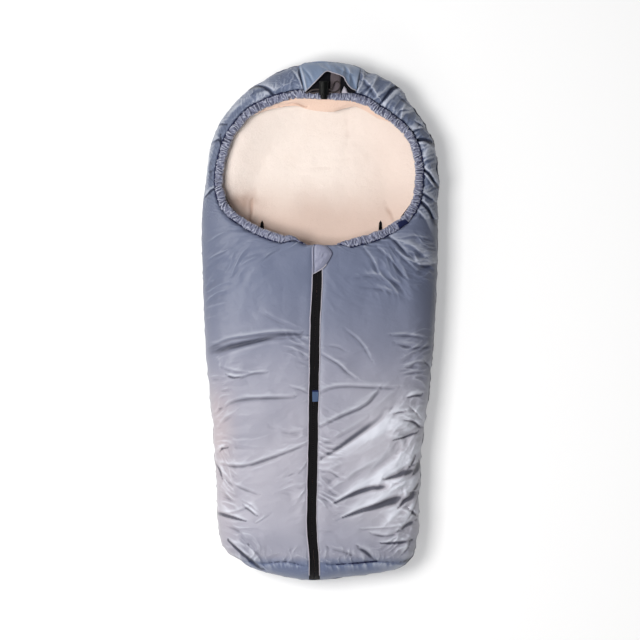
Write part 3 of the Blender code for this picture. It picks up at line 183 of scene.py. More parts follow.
CREASES = {-1: LEFT_CREASES, 1: RIGHT_CREASES}

# Sharp folds, written the same way, laid in after the cloth has settled
SHARP_LEFT = [
    ([(207, 345), (240, 340.5), (272, 337), (300, 336)], (11, 3), 0.0, 1.5),
    ([(230, 539), (240, 548), (251, 557), (262, 566)], (3, 5), 1.2, 5.0),
    ([(232, 554), (238, 557), (243, 560)], 3, 1.0, 2.4),
    ([(217, 509), (232, 514), (246, 519)], (7, 2), 1.2, 3.0),
    ([(245, 504), (251, 508), (257, 513)], 3, 1.6, 1.6),
    ([(218, 452), (222, 447), (227, 446)], 3, 0.8, 1.6),
    ([(217, 462), (221, 468), (224, 476)], 3.5, 1.4, 2.6),
    ([(228, 374), (235, 376), (242, 375)], 3, 1.4, 2.0),
]
SHARP_RIGHT = [
    ([(413, 262), (424, 264.5), (437, 262)], 4.5, 3.0, 1.8),
    ([(404, 243), (413, 246), (425, 256)], 5, 2.2, 1.4),
    ([(381, 232), (395, 240), (408, 254)], 4, 1.6, 1.6),
    ([(388, 413.5), (381, 422), (359, 437), (335, 452.7), (324, 458)], (11, 5), 1.6, 2.2),
    ([(372, 437), (385, 428), (398, 424), (412, 425)], 9, 1.8, 0.0),
    ([(393, 438.7), (402, 436), (409, 433), (416.3, 430.3)], (1.5, 4), 1.2, 3.6),
    ([(379, 482), (384, 472.4), (402.3, 461.2), (419, 450)], 4.5, 3.4, 0.0),
    ([(384, 477), (396.7, 472), (410.7, 465)], (3, 10), 0.6, 4.6),
    ([(335, 500), (353, 490), (373, 483), (390, 482)], (3, 10), 1.6, 3.8),
    ([(343, 515), (358, 508), (370, 503), (394, 493.5), (407, 491.5)], (2, 14), 2.2, 4.8),
    ([(386, 489), (396, 486), (407, 484)], 5, 2.4, 0.0),
    ([(388, 520), (393, 514), (399, 509)], 6, 2.4, 0.0),
    ([(408, 396), (414, 394), (420, 393)], (2, 4), 3.0, 3.4),
    ([(394, 412), (399, 410.5), (404, 410)], 2.5, 1.8, 2.4),
    ([(405, 419), (414, 420), (421, 425)], (2, 5), 2.4, 4.4),
    ([(412, 408), (417, 412), (421, 418)], 3, 2.4, 1.6),
    ([(409, 464), (411, 460), (413, 456)], 4, 1.4, 3.6),
    ([(413, 471), (415, 467), (417, 462)], 5, 1.4, 4.4),
    ([(411, 490), (414, 486), (417, 481)], 4, 1.6, 4.0),
    ([(398, 505), (403, 499), (409, 494)], (3, 5), 1.8, 4.0),
    ([(408, 516), (412, 508), (416, 498)], 2.5, 2.6, 1.6),
    ([(410, 508), (413, 510), (417, 514)], 3.5, 1.2, 4.0),
    ([(399, 527), (406, 521), (413, 519)], (5, 6), 1.6, 3.2),
    ([(381, 541), (395, 540), (409, 538)], (2, 5), 1.4, 3.2),
    ([(402, 552), (406, 547), (408, 542)], 3, 1.8, 1.8),
    ([(372, 531), (384, 533), (394, 531)], 4, 1.0, 1.4),
    ([(360, 545), (367, 549), (375, 557)], 5, 0.8, 2.4),
    ([(402, 560), (407, 558), (411, 556)], 5, 0.8, 4.0),
    ([(426, 362), (430, 366), (432, 374)], 3, 1.6, 1.8),
]
SHARP_HOOD = [
    ([(247, 89), (257, 85.3), (265, 86.6), (271, 90.5), (276, 96)], (2.5, 4), 2.2, 5.5),
    ([(276, 96), (268, 92), (256, 95)], 4, 1.2, 1.6),
    ([(204, 198), (211, 190), (218, 187)], (2, 3), 2.2, 4.0),
    ([(214, 141), (219, 139), (224, 142)], 2.5, 1.2, 3.0),
    ([(222, 136), (223.5, 145), (221, 154), (217.5, 165)], (3, 2), 0.4, 3.6),
    ([(216, 126), (220, 123.5), (226, 124)], 2.5, 1.0, 2.8),
    ([(292, 71), (298, 79), (302, 88)], 2, 1.6, 1.4),
    ([(238, 106), (231, 113), (226, 121)], 5, 1.6, 1.0),
    ([(209, 176), (208, 168), (210, 158)], 4, 1.4, 2.0),
    ([(401, 89), (394, 91), (388, 97.5), (381, 105)], (5, 2), 2.4, 7.0),
    ([(401, 98), (405, 101), (410, 105)], 3, 1.0, 2.6),
    ([(397, 117), (400, 111), (409, 110)], (2, 3), 0.5, 2.6),
    ([(402, 117), (406, 113), (414, 111)], 4, 3.4, 0.0),
    ([(402, 133), (406, 133.7), (410, 133)], 3, 1.0, 5.5),
    ([(410, 132), (417, 129), (425, 128)], 3, 3.4, 1.8),
    ([(416, 122), (420, 124), (424, 127)], 2.5, 1.4, 2.6),
    ([(434, 148), (426, 143), (419, 142.4), (411, 146)], (5, 3), 2.0, 7.0),
    ([(429, 149), (426, 152), (422, 157)], 3.5, 3.6, 0.0),
    ([(414, 153), (418, 153.5), (422, 154)], 2, 0.6, 2.4),
    ([(417, 166), (424, 169.5), (430, 174), (438, 186)], (2.5, 4), 1.6, 7.0),
    ([(424, 174), (429, 180), (434, 187)], 3.5, 3.4, 1.6),
    ([(421, 192), (426, 195), (431, 198)], 3, 1.2, 3.6),
    ([(419, 190), (427, 195), (436, 202)], 3, 3.2, 1.0),
    ([(420, 200), (428.8, 208.5), (436, 223)], (3, 4), 1.4, 7.0),
    ([(417, 210), (425, 219), (431, 232)], 4, 2.4, 1.6),
    ([(381, 116), (384, 110), (386, 106)], 2.5, 1.2, 3.0),
]
SHARP = {-1: SHARP_LEFT, 1: SHARP_RIGHT}

# Crumpled zones: centre and half size in pixels, angle, spacing in metres, stretch, height in mm, seed
ZONES = [
    ((220, 480), (22, 62), -32, 0.012, 2.4, 2.2, 1.0),
    ((218, 395), (16, 70), 24, 0.013, 2.6, 1.5, 2.0),
    ((240, 540), (34, 26), -38, 0.015, 2.4, 1.5, 3.0),
    ((212, 285), (22, 50), 30, 0.017, 2.6, 1.6, 4.0),
    ((300, 350), (22, 30), -20, 0.009, 2.8, 1.0, 5.0),
    ((296, 465), (24, 70), 24, 0.012, 2.8, 1.1, 6.0),
    ((255, 385), (60, 40), 6, 0.020, 3.2, 0.9, 7.0),
    ((255, 470), (58, 50), 14, 0.026, 3.0, 1.1, 8.0),
    ((412, 460), (32, 86), 34, 0.014, 2.6, 1.8, 11.0),
    ((392, 500), (44, 56), 30, 0.019, 3.2, 1.2, 12.0),
    ((386, 476), (46, 74), 33, 0.036, 3.4, 3.6, 31.0),
    ((404, 440), (30, 50), 38, 0.026, 2.8, 2.6, 32.0),
    ((408, 470), (26, 96), 40, 0.018, 2.2, 2.0, 35.0),
    ((414, 430), (18, 46), 10, 0.010, 1.8, 1.4, 36.0),
    ((410, 520), (20, 40), 24, 0.011, 1.8, 1.3, 37.0),
    ((250, 430), (60, 110), 12, 0.050, 3.0, 2.6, 33.0),
    ((240, 552), (30, 20), -40, 0.022, 2.4, 3.4, 34.0),
    ((345, 492), (36, 50), 24, 0.020, 3.2, 1.3, 13.0),
    ((330, 470), (20, 90), -14, 0.011, 2.6, 1.1, 14.0),
    ((398, 270), (46, 34), -42, 0.014, 3.0, 2.0, 15.0),
    ((424, 258), (18, 32), -10, 0.010, 2.2, 2.2, 16.0),
    ((418, 360), (22, 44), 8, 0.011, 2.6, 2.2, 17.0),
    ((350, 300), (40, 34), -24, 0.020, 3.4, 0.7, 18.0),
    ((360, 380), (52, 40), 12, 0.022, 3.2, 0.9, 19.0),
    ((402, 545), (30, 18), 6, 0.011, 2.6, 1.3, 20.0),
    ((300, 556), (130, 14), 78, 0.010, 1.8, 0.9, 21.0),
    ((234, 262), (44, 30), 38, 0.016, 3.0, 1.1, 22.0),
]


# Plan and heights
def half_width(y):
    """Half the sack's width at a place along it; the foot's end is rounded off."""
    y = np.asarray(y, float)
    rise = np.clip((y - CHEST_Y) / HEAD_REACH, 0, 1)
    head = WIDTH / 2 * (1 - rise ** HEAD_POWER) ** (1 / HEAD_POWER)
    step = np.clip((TAPER_TOP_Y - y) / TAPER_LENGTH, 0, 1)
    side = np.where(y > CHEST_Y, head, (WIDTH + (FOOT_WIDTH - WIDTH) * step * step * (3 - 2 * step)) / 2)
    arc = np.sqrt(np.maximum(y - FOOT_Y, 1e-9) / FOOT_ARC)
    closed = (np.maximum(side, 1e-6) ** -CORNER_POWER + arc ** -CORNER_POWER) ** (-1 / CORNER_POWER)
    return np.where(y > TOE_Y + ROUNDING, side, closed)


def foot_ratio(x, y):
    """How far out a point of the rounded foot lies; y is measured from the foot's middle."""
    away = np.maximum(np.hypot(x, y), 1e-7)
    low = np.zeros_like(away)
    high = np.full_like(away, 0.5)
    for _ in range(26):
        middle = (low + high) / 2
        at_x = x / away * middle
        at_y = TOE_Y + y / away * middle
        inside = (at_y > FOOT_Y) & (np.abs(at_x) < half_width(at_y))
        low = np.where(inside, middle, low)
        high = np.where(inside, high, middle)
    return away / low


def ratio(x, y):
    """How far out a plan point lies: 0 on the spine, 1 on the side seam."""
    x, y = np.broadcast_arrays(np.asarray(x, float), np.asarray(y, float))
    up = np.clip((y - CHEST_Y) / HEAD_REACH, 0, None)
    head = ((np.abs(x) / (WIDTH / 2)) ** HEAD_POWER + up ** HEAD_POWER) ** (1 / HEAD_POWER)
    out = np.where(y > CHEST_Y, head, np.abs(x) / np.maximum(half_width(y), 1e-6))
    foot = y < TOE_Y
    if foot.any():
        out[foot] = foot_ratio(x[foot], y[foot] - TOE_Y)
    return out


def front_z(x, y):
    """Height of the plump front over plan points of the even outline."""
    r = np.clip(ratio(x, y), 0, 1)
    return SEAM_Z + LOFT * (1 - r ** FRONT_FULLNESS) ** (1 / FRONT_FULLNESS)


def back_z(x, y, depth=0.0):
    """Height of the back, or of a layer inside it."""
    r = np.clip(ratio(x, y), 0, 1)
    drop = BACK_HEIGHT + SHELL_CLOTH - depth
    return np.maximum(depth, SEAM_Z - drop * (1 - r ** BACK_FULLNESS) ** (1 / BACK_FULLNESS))


def bulge(x, y):
    """Plan points of the even outline, moved as the side seams bulge."""
    right, left = (np.interp(y, BULGE[:, 0], BULGE[:, column]) for column in (1, 2))
    near = np.clip(np.abs(x) / np.maximum(half_width(y), 1e-4), 0, 1) ** 2
    return x * (1 + (np.where(x < 0, right, left) - 1) * near)


def unbulge(x, y):
    """The way back, in steps that close in on it."""
    even = np.array(x, float)
    for _ in range(6):
        even = even + (x - bulge(even, y))
    return even


def front_top(x, y):
    """Height of the plump front over plan points."""
    return front_z(unbulge(x, y), y)


def out_share(x, y):
    """How far out a point of the bulging plan lies, 0 to 1."""
    return np.clip(ratio(unbulge(x, y), y), 0, 1)


def smooth(start, end, x):
    """0 at the start and 1 at the end, with a soft passage between them."""
    t = np.clip((x - start) / (end - start), 0, 1)
    return t * t * (3 - 2 * t)


def run_along(points):
    """Distance of each point of a line from its start, along the line."""
    return np.concatenate([[0], np.cumsum(np.linalg.norm(np.diff(points, axis=0), axis=1))])


def along(points, s):
    """Points at the shares s of a line's length."""
    run = run_along(points)
    return np.stack([np.interp(s * run[-1], run, values) for values in points.T], -1)


def spline(points, fine=12):
    """A smooth line through points, with so many steps from one to the next."""
    p = np.asarray(points, float)
    e = np.vstack([2 * p[0] - p[1], p, 2 * p[-1] - p[-2]])
    out = []
    for a, b, c, d in zip(e, e[1:], e[2:], e[3:]):
        square = 2 * a - 5 * b + 4 * c - d
        cube = 3 * b - a - 3 * c + d
        for f in np.arange(fine) / fine:
            out.append(0.5 * (2 * b + (c - a) * f + square * f * f + cube * f ** 3))
    out.append(p[-1])
    return np.array(out)


def between(a, b, w):
    """A plan grid from one line to another, at the shares w of the way."""
    plan = a[:, None] + (b - a)[:, None] * w[None, :, None]
    return plan[..., 0], plan[..., 1]


def outward(line):
    """A plan line's normals, away from the middle of the face opening."""
    tangent = np.gradient(line, axis=0)
    tangent /= np.linalg.norm(tangent, axis=1)[:, None]
    normal = np.stack([tangent[:, 1], -tangent[:, 0]], -1)
    return normal * np.sign((normal * (line - FACE_MIDDLE)).sum(1))[:, None]


def offset(line, away):
    """A plan line moved outwards by a distance."""
    return line + outward(line) * away


def plan_place(px, py):
    """A pixel's place in the plan."""
    return (px - ORIGIN_X_PX) * PX, (ORIGIN_Y_PX - py) * PX


def lumps(x, y):
    """How far the cloth stands out of the even outline near its lumps and dents."""
    total = np.zeros_like(x)
    for cx, cy, reach, height in LUMPS:
        total = total + height * MM * np.exp(-np.hypot(x - cx * MM, y - cy * MM) ** 2 / (reach * MM) ** 2)
    return total


def drawn_back(x, y):
    """Plan points moved inwards by the lumps, so that the surface reaches down to the lumpy outline."""
    away = np.stack([x, y - np.clip(y, TOE_Y, CHEST_Y)], -1)
    size = np.maximum(np.linalg.norm(away, axis=-1), 1e-6)
    out = lumps(x, y) * smooth(0.02, 0.06, size)
    return x - away[..., 0] / size * out, y - away[..., 1] / size * out


def outline_half(side, samples=1400):
    """One side of the seam round the sack, from the foot's middle to the head's, a little puckered."""
    y = FOOT_Y + LENGTH * (1 - np.cos(np.pi * np.arange(samples + 1) / samples)) / 2
    x = half_width(y)
    x[0] = x[-1] = 0
    out = np.stack([x, y - np.clip(y, TOE_Y, CHEST_Y)], -1)
    out /= np.linalg.norm(out, axis=1)[:, None]
    strong = 0.5 + 0.9 * smooth(0.02, -0.12, y) * (side > 0) + 0.5 * smooth(-0.05, -0.15, y) * (side < 0)
    strong = strong + 0.8 * smooth(0.18, 0.24, y) * smooth(0.40, 0.36, y) * (side > 0)
    run = np.concatenate([[0], np.cumsum(np.hypot(np.diff(x), np.diff(y)))])
    pull = waves(run, 15.0 + side, 0.024) * 1.2 * strong * MM * smooth(0, 0.03, x) + lumps(side * x, y)
    return np.stack([bulge(side * x, y) + side * out[:, 0] * pull, y + out[:, 1] * pull], -1)


def zip_x(y):
    """Middle of the zip, which leans and turns aside at both ends."""
    y = np.asarray(y, float)
    return ZIP_X + ZIP_LEAN * (y - CHIN_Y) + 0.0018 * smooth(0.0, 0.06, y) + 0.0060 * smooth(-0.30, -0.39, y)


def foot_seam_y(x):
    """The seam across the foot, drawn towards the end beside the zip."""
    return FOOT_SEAM_Y - 0.004 * np.exp(-((np.abs(x) - 0.02) / 0.02) ** 2) + 0.0012 * np.sin(x * 90)


# Folds and wrinkles
def nearest(x, y, line):
    """Signed distance of points from a line, and the share of its length beside which they lie."""
    best = np.full(x.shape, 1e9)
    signed = np.zeros(x.shape)
    share = np.zeros(x.shape)
    run = run_along(line)
    for start, end, gone in zip(line, line[1:], run):
        way = end - start
        size = math.hypot(*way) + 1e-12
        f = np.clip(((x - start[0]) * way[0] + (y - start[1]) * way[1]) / size ** 2, 0, 1)
        gap_x = x - start[0] - way[0] * f
        gap_y = y - start[1] - way[1] * f
        gap = np.hypot(gap_x, gap_y)
        closer = gap < best
        side = (way[0] * gap_y - way[1] * gap_x) / size
        best = np.where(closer, gap, best)
        signed = np.where(closer, np.where(np.abs(side) > 1e-9, np.sign(side), 1) * gap, signed)
        share = np.where(closer, (gone + f * size) / run[-1], share)
    return signed, share


def relief(x, y, creases):
    """Height of directed creases: a crisp ridge with a sharper valley on its lower side."""
    total = np.zeros_like(x)
    for pixels, width, ridge, valley in creases:
        line = spline([plan_place(*at) for at in pixels], 5)
        first, last = width if isinstance(width, tuple) else (width, width)
        low = line.min(0) - 5 * max(first, last) * PX
        high = line.max(0) + 5 * max(first, last) * PX
        near = (x > low[0]) & (x < high[0]) & (y > low[1]) & (y < high[1])
        if near.any():
            signed, share = nearest(x[near], y[near], line)
            w = (first + (last - first) * share) * PX
            fade = np.sqrt(np.clip(np.sin(np.pi * (0.06 + 0.88 * share)), 0, 1))
            rounded = np.sqrt(signed ** 2 + (0.12 * w) ** 2) - 0.12 * w
            up = np.exp(-rounded / np.where(signed > 0, 1.15 * w, 0.30 * w))
            down = np.exp(-((signed + 0.45 * w) / (0.42 * w)) ** 2)
            total[near] += fade * (ridge * up - valley * down) * MM
    return total


def waves(s, seed, pitch):
    """Irregular gathers along a line: round crests and sharp valleys, about -1 to 1."""
    flat = np.unique(np.round(s, 6))
    base = np.array([noise.noise(Vector((q / pitch * 0.9, seed * 7.3, 1.1))) for q in flat])
    fine = np.array([noise.noise(Vector((q / pitch * 2.3, seed * 3.1, 5.7))) for q in flat])
    value = np.interp(s, flat, base + 0.45 * fine)
    return 1 - 2.6 * np.abs(value) ** 0.8


def cloud(x, y, scale, seed, octaves=2):
    """Smooth random heights over the plan."""
    points = np.stack([x.ravel() / scale, y.ravel() / scale], -1)
    out = np.array([noise.fractal(Vector((p[0], p[1], seed)), 1.0, 2.0, octaves) for p in points])
    return out.reshape(x.shape)


def crumple(x, y, angle, size, stretch, seed):
    """Sharp irregular wrinkles that run at an angle, about -1 to 1; size is their spacing."""
    cos, sin = math.cos(math.radians(angle)), math.sin(math.radians(angle))
    lengthwise = (x * cos + y * sin) / (size * stretch)
    across = (-x * sin + y * cos) / size
    out = np.zeros(x.size)
    for k, (u, v) in enumerate(zip(lengthwise.ravel(), across.ravel())):
        bend = noise.noise(Vector((u * 0.8, v * 0.35, seed + 40.0)))
        broad = noise.noise(Vector((u, v + bend * 1.4, seed)))
        fine = noise.noise(Vector((u * 2.1, v * 2.3 + bend * 2.0, seed + 9.0)))
        out[k] = 1 - 3.4 * math.sqrt(broad * broad + 0.0016) - 0.8 * abs(fine)
    return out.reshape(x.shape)


def pleat(run, across, height):
    """Fine gathers of a drawn-up casing: sharp, uneven, slanting one way and the other, about -1 to 1."""
    out = np.zeros(run.size)
    for k, (a, u, v) in enumerate(zip(run.ravel(), across.ravel(), height.ravel())):
        slant = noise.noise(Vector((a / 0.013, 3.1, 61.0))) * 1.1
        bend = noise.noise(Vector((a / 0.006, u * 0.7, 62.0 + v * 0.7))) * 0.6
        broad = noise.noise(Vector((a / 0.0038 + u * slant + bend, u * 0.4, 63.0 + v * 0.4)))
        fine = noise.noise(Vector((a / 0.0021 + bend * 2.0, u * 1.1, 64.0 + v * 1.1)))
        out[k] = 1 - 3.2 * abs(broad) - 1.1 * abs(fine)
    return out.reshape(run.shape)


def spot(x, y, px, py, rx, ry, core):
    """A soft mask round a pixel of the plan: 1 within the core's share of the reach, 0 beyond the reach."""
    cx, cy = plan_place(px, py)
    return smooth(1.0, core, np.hypot((x - cx) / (rx * PX), (y - cy) / (ry * PX)))


def crumples(x, y):
    """Height of the wrinkles in the crumpled zones."""
    total = np.zeros_like(x)
    for (px, py), (rx, ry), angle, size, stretch, height, seed in ZONES:
        mask = spot(x, y, px, py, rx * 1.15, ry * 1.15, 0.25)
        near = mask > 0.002
        if near.any():
            total[near] += mask[near] * crumple(x[near], y[near], angle, size, stretch, seed) * height * MM
    return total


rim = spline(np.array(RIM) * MM)
rim_run = run_along(rim)
rim_length = rim_run[-1]
rim_share = rim_run / rim_length
band_width = BAND * (0.10 + 0.90 * np.minimum(smooth(0, 0.055, rim_share), smooth(1, 0.975, rim_share)))
seam_line = offset(rim, band_width[:, None])


# Marks for the folds' shading
def blur(values, steps):
    """Each point of a grid averaged with its neighbours, so many times."""
    out = values.copy()
    for _ in range(steps):
        pad = np.pad(out, [(1, 1), (1, 1), (0, 0)], mode="edge")
        out = (pad[:-2, 1:-1] + pad[2:, 1:-1] + pad[1:-1, :-2] + pad[1:-1, 2:] + 2 * out) / 6
    return out


def grid_normals(points):
    normal = np.cross(np.gradient(points, axis=0), np.gradient(points, axis=1))
    return normal / (np.linalg.norm(normal, axis=2)[..., None] + 1e-12)


def folds(points):
    """How far each point of a grid stands over its neighbourhood: -1 in a deep valley, 1 on a sharp ridge."""
    normal = grid_normals(points)
    normal *= np.where(normal[..., 2:] < 0, -1, 1)
    near = ((points - blur(points, 6)) * normal).sum(2) / 0.0006
    far = ((points - blur(points, 40)) * normal).sum(2) / 0.0024
    out = (near * 0.5 + far * 0.6) * smooth(0, 0.05, np.linspace(0, 1, points.shape[1]))
    out[:2] = out[-2:] = 0
    return np.clip(out, -1, 1)


def shading(points, *groups):
    """Marks of a grid's own folds together with those of creases, each group of creases with its share."""
    total = folds(points) * 0.7
    for creases, share in groups:
        total = total + relief(points[..., 0], points[..., 1], creases) / (3 * MM) * share
    return np.clip(total, -1, 1)


# Meshes
def linked(name, data):
    made = bpy.data.objects.new(name, data)
    bpy.context.scene.collection.objects.link(made)
    return made


def finish_piece(name, bm):
    mesh = bpy.data.meshes.new(name)
    bm.to_mesh(mesh)
    bm.free()
    mesh.shade_smooth()
    return linked(name, mesh)


def flat_grid(nu, nv):
    """A grid with so many vertices each way, and the row and column of every vertex."""
    bm = bmesh.new()
    bmesh.ops.create_grid(bm, x_segments=nu - 1, y_segments=nv - 1, size=0.5)
    return bm, [(round((v.co.x + 0.5) * (nu - 1)), round((v.co.y + 0.5) * (nv - 1))) for v in bm.verts]


def face_up(obj):
    """Turns a mesh over if its middle face looks down."""
    faces = obj.data.polygons
    if faces[len(faces) // 2].normal.z < 0:
        obj.data.flip_normals()


def cut_slots(bm):
    """Cuts the harness slits through a grid, after dividing its faces near them."""
    for _ in range(2):
        near = [face for face in bm.faces if near_slot(face.calc_center_median())]
        edges = {edge for face in near for edge in face.edges if edge.calc_length() > 0.0007}
        bmesh.ops.subdivide_edges(bm, edges=list(edges), cuts=1, use_grid_fill=True)
    gone = [face for face in bm.faces if in_slot(face.calc_center_median())]
    bmesh.ops.delete(bm, geom=gone, context="FACES")


def grid_piece(name, points, flip=False, slotted=False, marks=None):
    """A quad grid over an array of points, with UVs and an optional mark on each point."""
    nu, nv = points.shape[:2]
    bm, places = flat_grid(nu, nv)
    uv = bm.loops.layers.uv.new("UVMap")
    fold = bm.verts.layers.float.new("fold") if marks is not None else None
    for vertex, (i, j) in zip(bm.verts, places):
        vertex.co = points[i, j]
        if fold is not None:
            vertex[fold] = marks[i, j]
        for loop in vertex.link_loops:
            loop[uv].uv = (i / (nu - 1), j / (nv - 1))
    if slotted:
        cut_slots(bm)
    bmesh.ops.remove_doubles(bm, verts=bm.verts[:], dist=1e-6)
    if flip:
        bmesh.ops.reverse_faces(bm, faces=bm.faces[:])
    return finish_piece(name, bm)


def tube_piece(name, line, radius, sides=8):
    """A tube along a line, its ends drawn in; radius is a number or one for each point."""
    radius = np.broadcast_to(np.asarray(radius, float), (len(line),)).copy()
    radius[[0, -1]] *= 0.3
    tangent = np.gradient(line, axis=0)
    tangent /= np.linalg.norm(tangent, axis=1)[:, None] + 1e-12
    side = np.cross(tangent, (0, 0, 1))
    side /= np.linalg.norm(side, axis=1)[:, None] + 1e-9
    up = np.cross(side, tangent)
    turns = [-2 * math.pi * k / sides for k in range(sides + 1)]
    wide = [side * (radius * math.cos(a))[:, None] for a in turns]
    high = [up * (radius * math.sin(a))[:, None] for a in turns]
    return grid_piece(name, np.stack([line + w + h for w, h in zip(wide, high)], 1))


def wear(obj, look, body, replaces=()):
    """Gives a piece its material, its body, its material's slot and the nodes that it stands for."""
    obj.data.materials.clear()
    obj.data.materials.append(look)
    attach(obj, body)
    if replaces:
        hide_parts(*replaces)
    return obj


# Cloth that settles
CLOTH = {
    "quality": 5,
    "mass": 0.12,
    "tension_stiffness": 12,
    "compression_stiffness": 12,
    "shear_stiffness": 6,
    "bending_stiffness": 0.02,
    "air_damping": 4,
    "vertex_group_mass": "held",
    "vertex_group_shrink": "loose",
    "use_pressure": True,
    "uniform_pressure_force": 1.5,
}
CLOTH_FRAMES = 16


def weigh(obj, name, weights, places):
    """A vertex group with the weights of a grid's points."""
    group = obj.vertex_groups.new(name=name)
    for index, at in enumerate(places):
        group.add([index], float(weights[at]), "REPLACE")


def simulate(obj, grow):
    """Runs the cloth and returns the places of its vertices."""
    cloth = obj.modifiers.new("cloth", "CLOTH")
    for name, value in CLOTH.items():
        setattr(cloth.settings, name, value)
    cloth.settings.shrink_min = -grow[0]
    cloth.settings.shrink_max = -grow[1]
    cloth.settings.effector_weights.gravity = 0
    cloth.point_cache.frame_end = CLOTH_FRAMES
    for frame_number in range(1, CLOTH_FRAMES + 1):
        bpy.context.scene.frame_set(frame_number)
    graph = bpy.context.evaluated_depsgraph_get()
    soft = obj.evaluated_get(graph).to_mesh()
    flat = np.empty(len(soft.vertices) * 3)
    soft.vertices.foreach_get("co", flat)
    return flat.reshape(-1, 3)


def refined(grid, count):
    """A grid of vectors with more rows, turned so that its columns come first."""
    old = np.arange(len(grid))
    new = np.linspace(0, len(grid) - 1, count)
    return np.stack([[np.interp(new, old, line[:, k]) for line in grid.swapaxes(0, 1)] for k in range(3)], -1)


def settle(points, pins, loose, grow, cap):
    """Lets cloth cut too large, by grow's first share or where loose its second, buckle between its seams."""
    coarse = points[::2, ::2]
    nu, nv = coarse.shape[:2]
    bm, places = flat_grid(nu, nv)
    for vertex, at in zip(bm.verts, places):
        vertex.co = coarse[at]
    obj = finish_piece("settling", bm)
    face_up(obj)
    weigh(obj, "held", pins[::2, ::2], places)
    weigh(obj, "loose", loose[::2, ::2], places)
    moved = coarse.copy()
    for at, place in zip(places, simulate(obj, grow)):
        moved[at] = place
    bpy.data.objects.remove(obj, do_unlink=True)
    bpy.context.scene.frame_set(1)
    shift = moved - coarse
    size = np.linalg.norm(shift, axis=2)[..., None] + 1e-12
    shift *= np.minimum(size, cap) / size
    return points + refined(refined(shift, points.shape[0]), points.shape[1])


# Shader words
def add_node(tree, kind, settings=None, sockets=None, output=0):
    """Adds a node, its settings first and then the values or links of its sockets, and returns an output."""
    node = tree.nodes.new("ShaderNode" + kind)
    for name, value in (settings or {}).items():
        setattr(node, name, value)
    for key, value in (sockets or {}).items():
        if isinstance(value, Value):
            tree.links.new(value.socket, node.inputs[key])
        else:
            node.inputs[key].default_value = value
    return Value(tree, node.outputs[output]) if node.outputs else None


class Value:
    """An output of a node, for use in Python expressions."""

    def __init__(self, tree, socket):
        self.tree = tree
        self.socket = socket

    def math(self, operation, *others):
        return add_node(self.tree, "Math", {"operation": operation}, dict(enumerate((self, *others))))

    def __add__(self, other):
        return self.math("ADD", other)

    def __sub__(self, other):
        return self.math("SUBTRACT", other)

    def __rsub__(self, other):
        return self * -1.0 + other

    def __mul__(self, other):
        return self.math("MULTIPLY", other)

    __radd__ = __add__
    __rmul__ = __mul__

    def at_most(self, other):
        return self.math("MINIMUM", other)

    def at_least(self, other):
        return self.math("MAXIMUM", other)

    def sin(self):
        return self.math("SINE")

    def step(self, start, end):
        """0 at the start and 1 at the end, with a soft passage between them."""
        span = {0: self, 1: start, 2: end}
        return add_node(self.tree, "MapRange", {"interpolation_type": "SMOOTHSTEP"}, span)


class Look:
    """A Principled material in the making, with its Object coordinates at hand."""

    def __init__(self, name, color, roughness, **fixed):
        self.mat = bpy.data.materials.new(name)
        self.mat.use_nodes = True
        self.tree = self.mat.node_tree
        self.shader = self.tree.nodes["Principled BSDF"]
        self.shader.inputs["Base Color"].default_value = (*color, 1)
        self.shader.inputs["Roughness"].default_value = roughness
        for key, value in fixed.items():
            self.shader.inputs[key.replace("_", " ")].default_value = value
        self.place = add_node(self.tree, "TexCoord", output="Object")
        split = add_node(self.tree, "SeparateXYZ", sockets={0: self.place}).socket.node
        self.x = Value(self.tree, split.outputs[0])
        self.y = Value(self.tree, split.outputs[1])

    def noise(self, scale, detail=3.0, rough=0.5, distortion=0.0):
        grain = {"Scale": scale, "Detail": detail, "Roughness": rough, "Distortion": distortion}
        return add_node(self.tree, "TexNoise", sockets={"Vector": self.place, **grain})

    def fold(self):
        """The mark that a piece's points carry: below 0 in a valley, above 0 on a ridge."""
        return add_node(self.tree, "Attribute", {"attribute_name": "fold"}, output="Fac")

    def blend(self, share, a, b):
        a, b = (color if isinstance(color, Value) else (*color, 1) for color in (a, b))
        return add_node(self.tree, "Mix", {"data_type": "RGBA"}, {0: share, 6: a, 7: b}, output=2)

    def paint(self, color):
        self.tree.links.new(color.socket, self.shader.inputs["Base Color"])

    def rough(self, value):
        self.tree.links.new(value.socket, self.shader.inputs["Roughness"])

    def bump(self, height, distance, strength=1.0):
        sockets = {"Distance": distance, "Strength": strength, "Height": height}
        made = add_node(self.tree, "Bump", sockets=sockets)
        self.tree.links.new(made.socket, self.shader.inputs["Normal"])


def lin(*rgb):
    """A colour as a screen shows it, 0 to 255, in the scene's linear values."""
    shares = [c / 255 for c in rgb]
    return tuple(c / 12.92 if c <= 0.04045 else ((c + 0.055) / 1.055) ** 2.4 for c in shares)


def toned(color, *factors):
    """A colour with its parts multiplied by a factor for all or one for each."""
    factors = factors * 3 if len(factors) == 1 else factors
    return tuple(min(c * f, 1.0) for c, f in zip(color, factors))


# Where the cloth's tone changes, much of it painted sheen, painted light and painted shade: the start and the
# end of each passage, in metres
SHEEN_DOWN_THE_FRONT = (0.08, -0.22)
INTO_THE_HOOD = (0.15, 0.25)
INTO_THE_TOE = (-0.27, -0.36)
OVER_THE_FOOT = (-0.358, -0.375)
# Painted warm reflection on the lower left of the front
WARM_REFLECTION_IN_X = (-0.115, -0.165)
WARM_REFLECTION_IN_Y = (-0.06, -0.15)
# Painted light on the lower right of the front
LIT_IN_X = (0.0, 0.10)
LIT_FROM_ABOVE = (-0.06, -0.16)
LIT_FROM_BELOW = (-0.36, -0.30)
# Painted shade along the right edge, where the side turns away from the light
DIM_IN_X = (0.13, 0.180)
DIM_IN_Y = (-0.14, -0.02)
# Painted shade along the left edge
EDGE_IN_X = (-0.12, -0.175)
EDGE_IN_Y = (-0.10, 0.02)

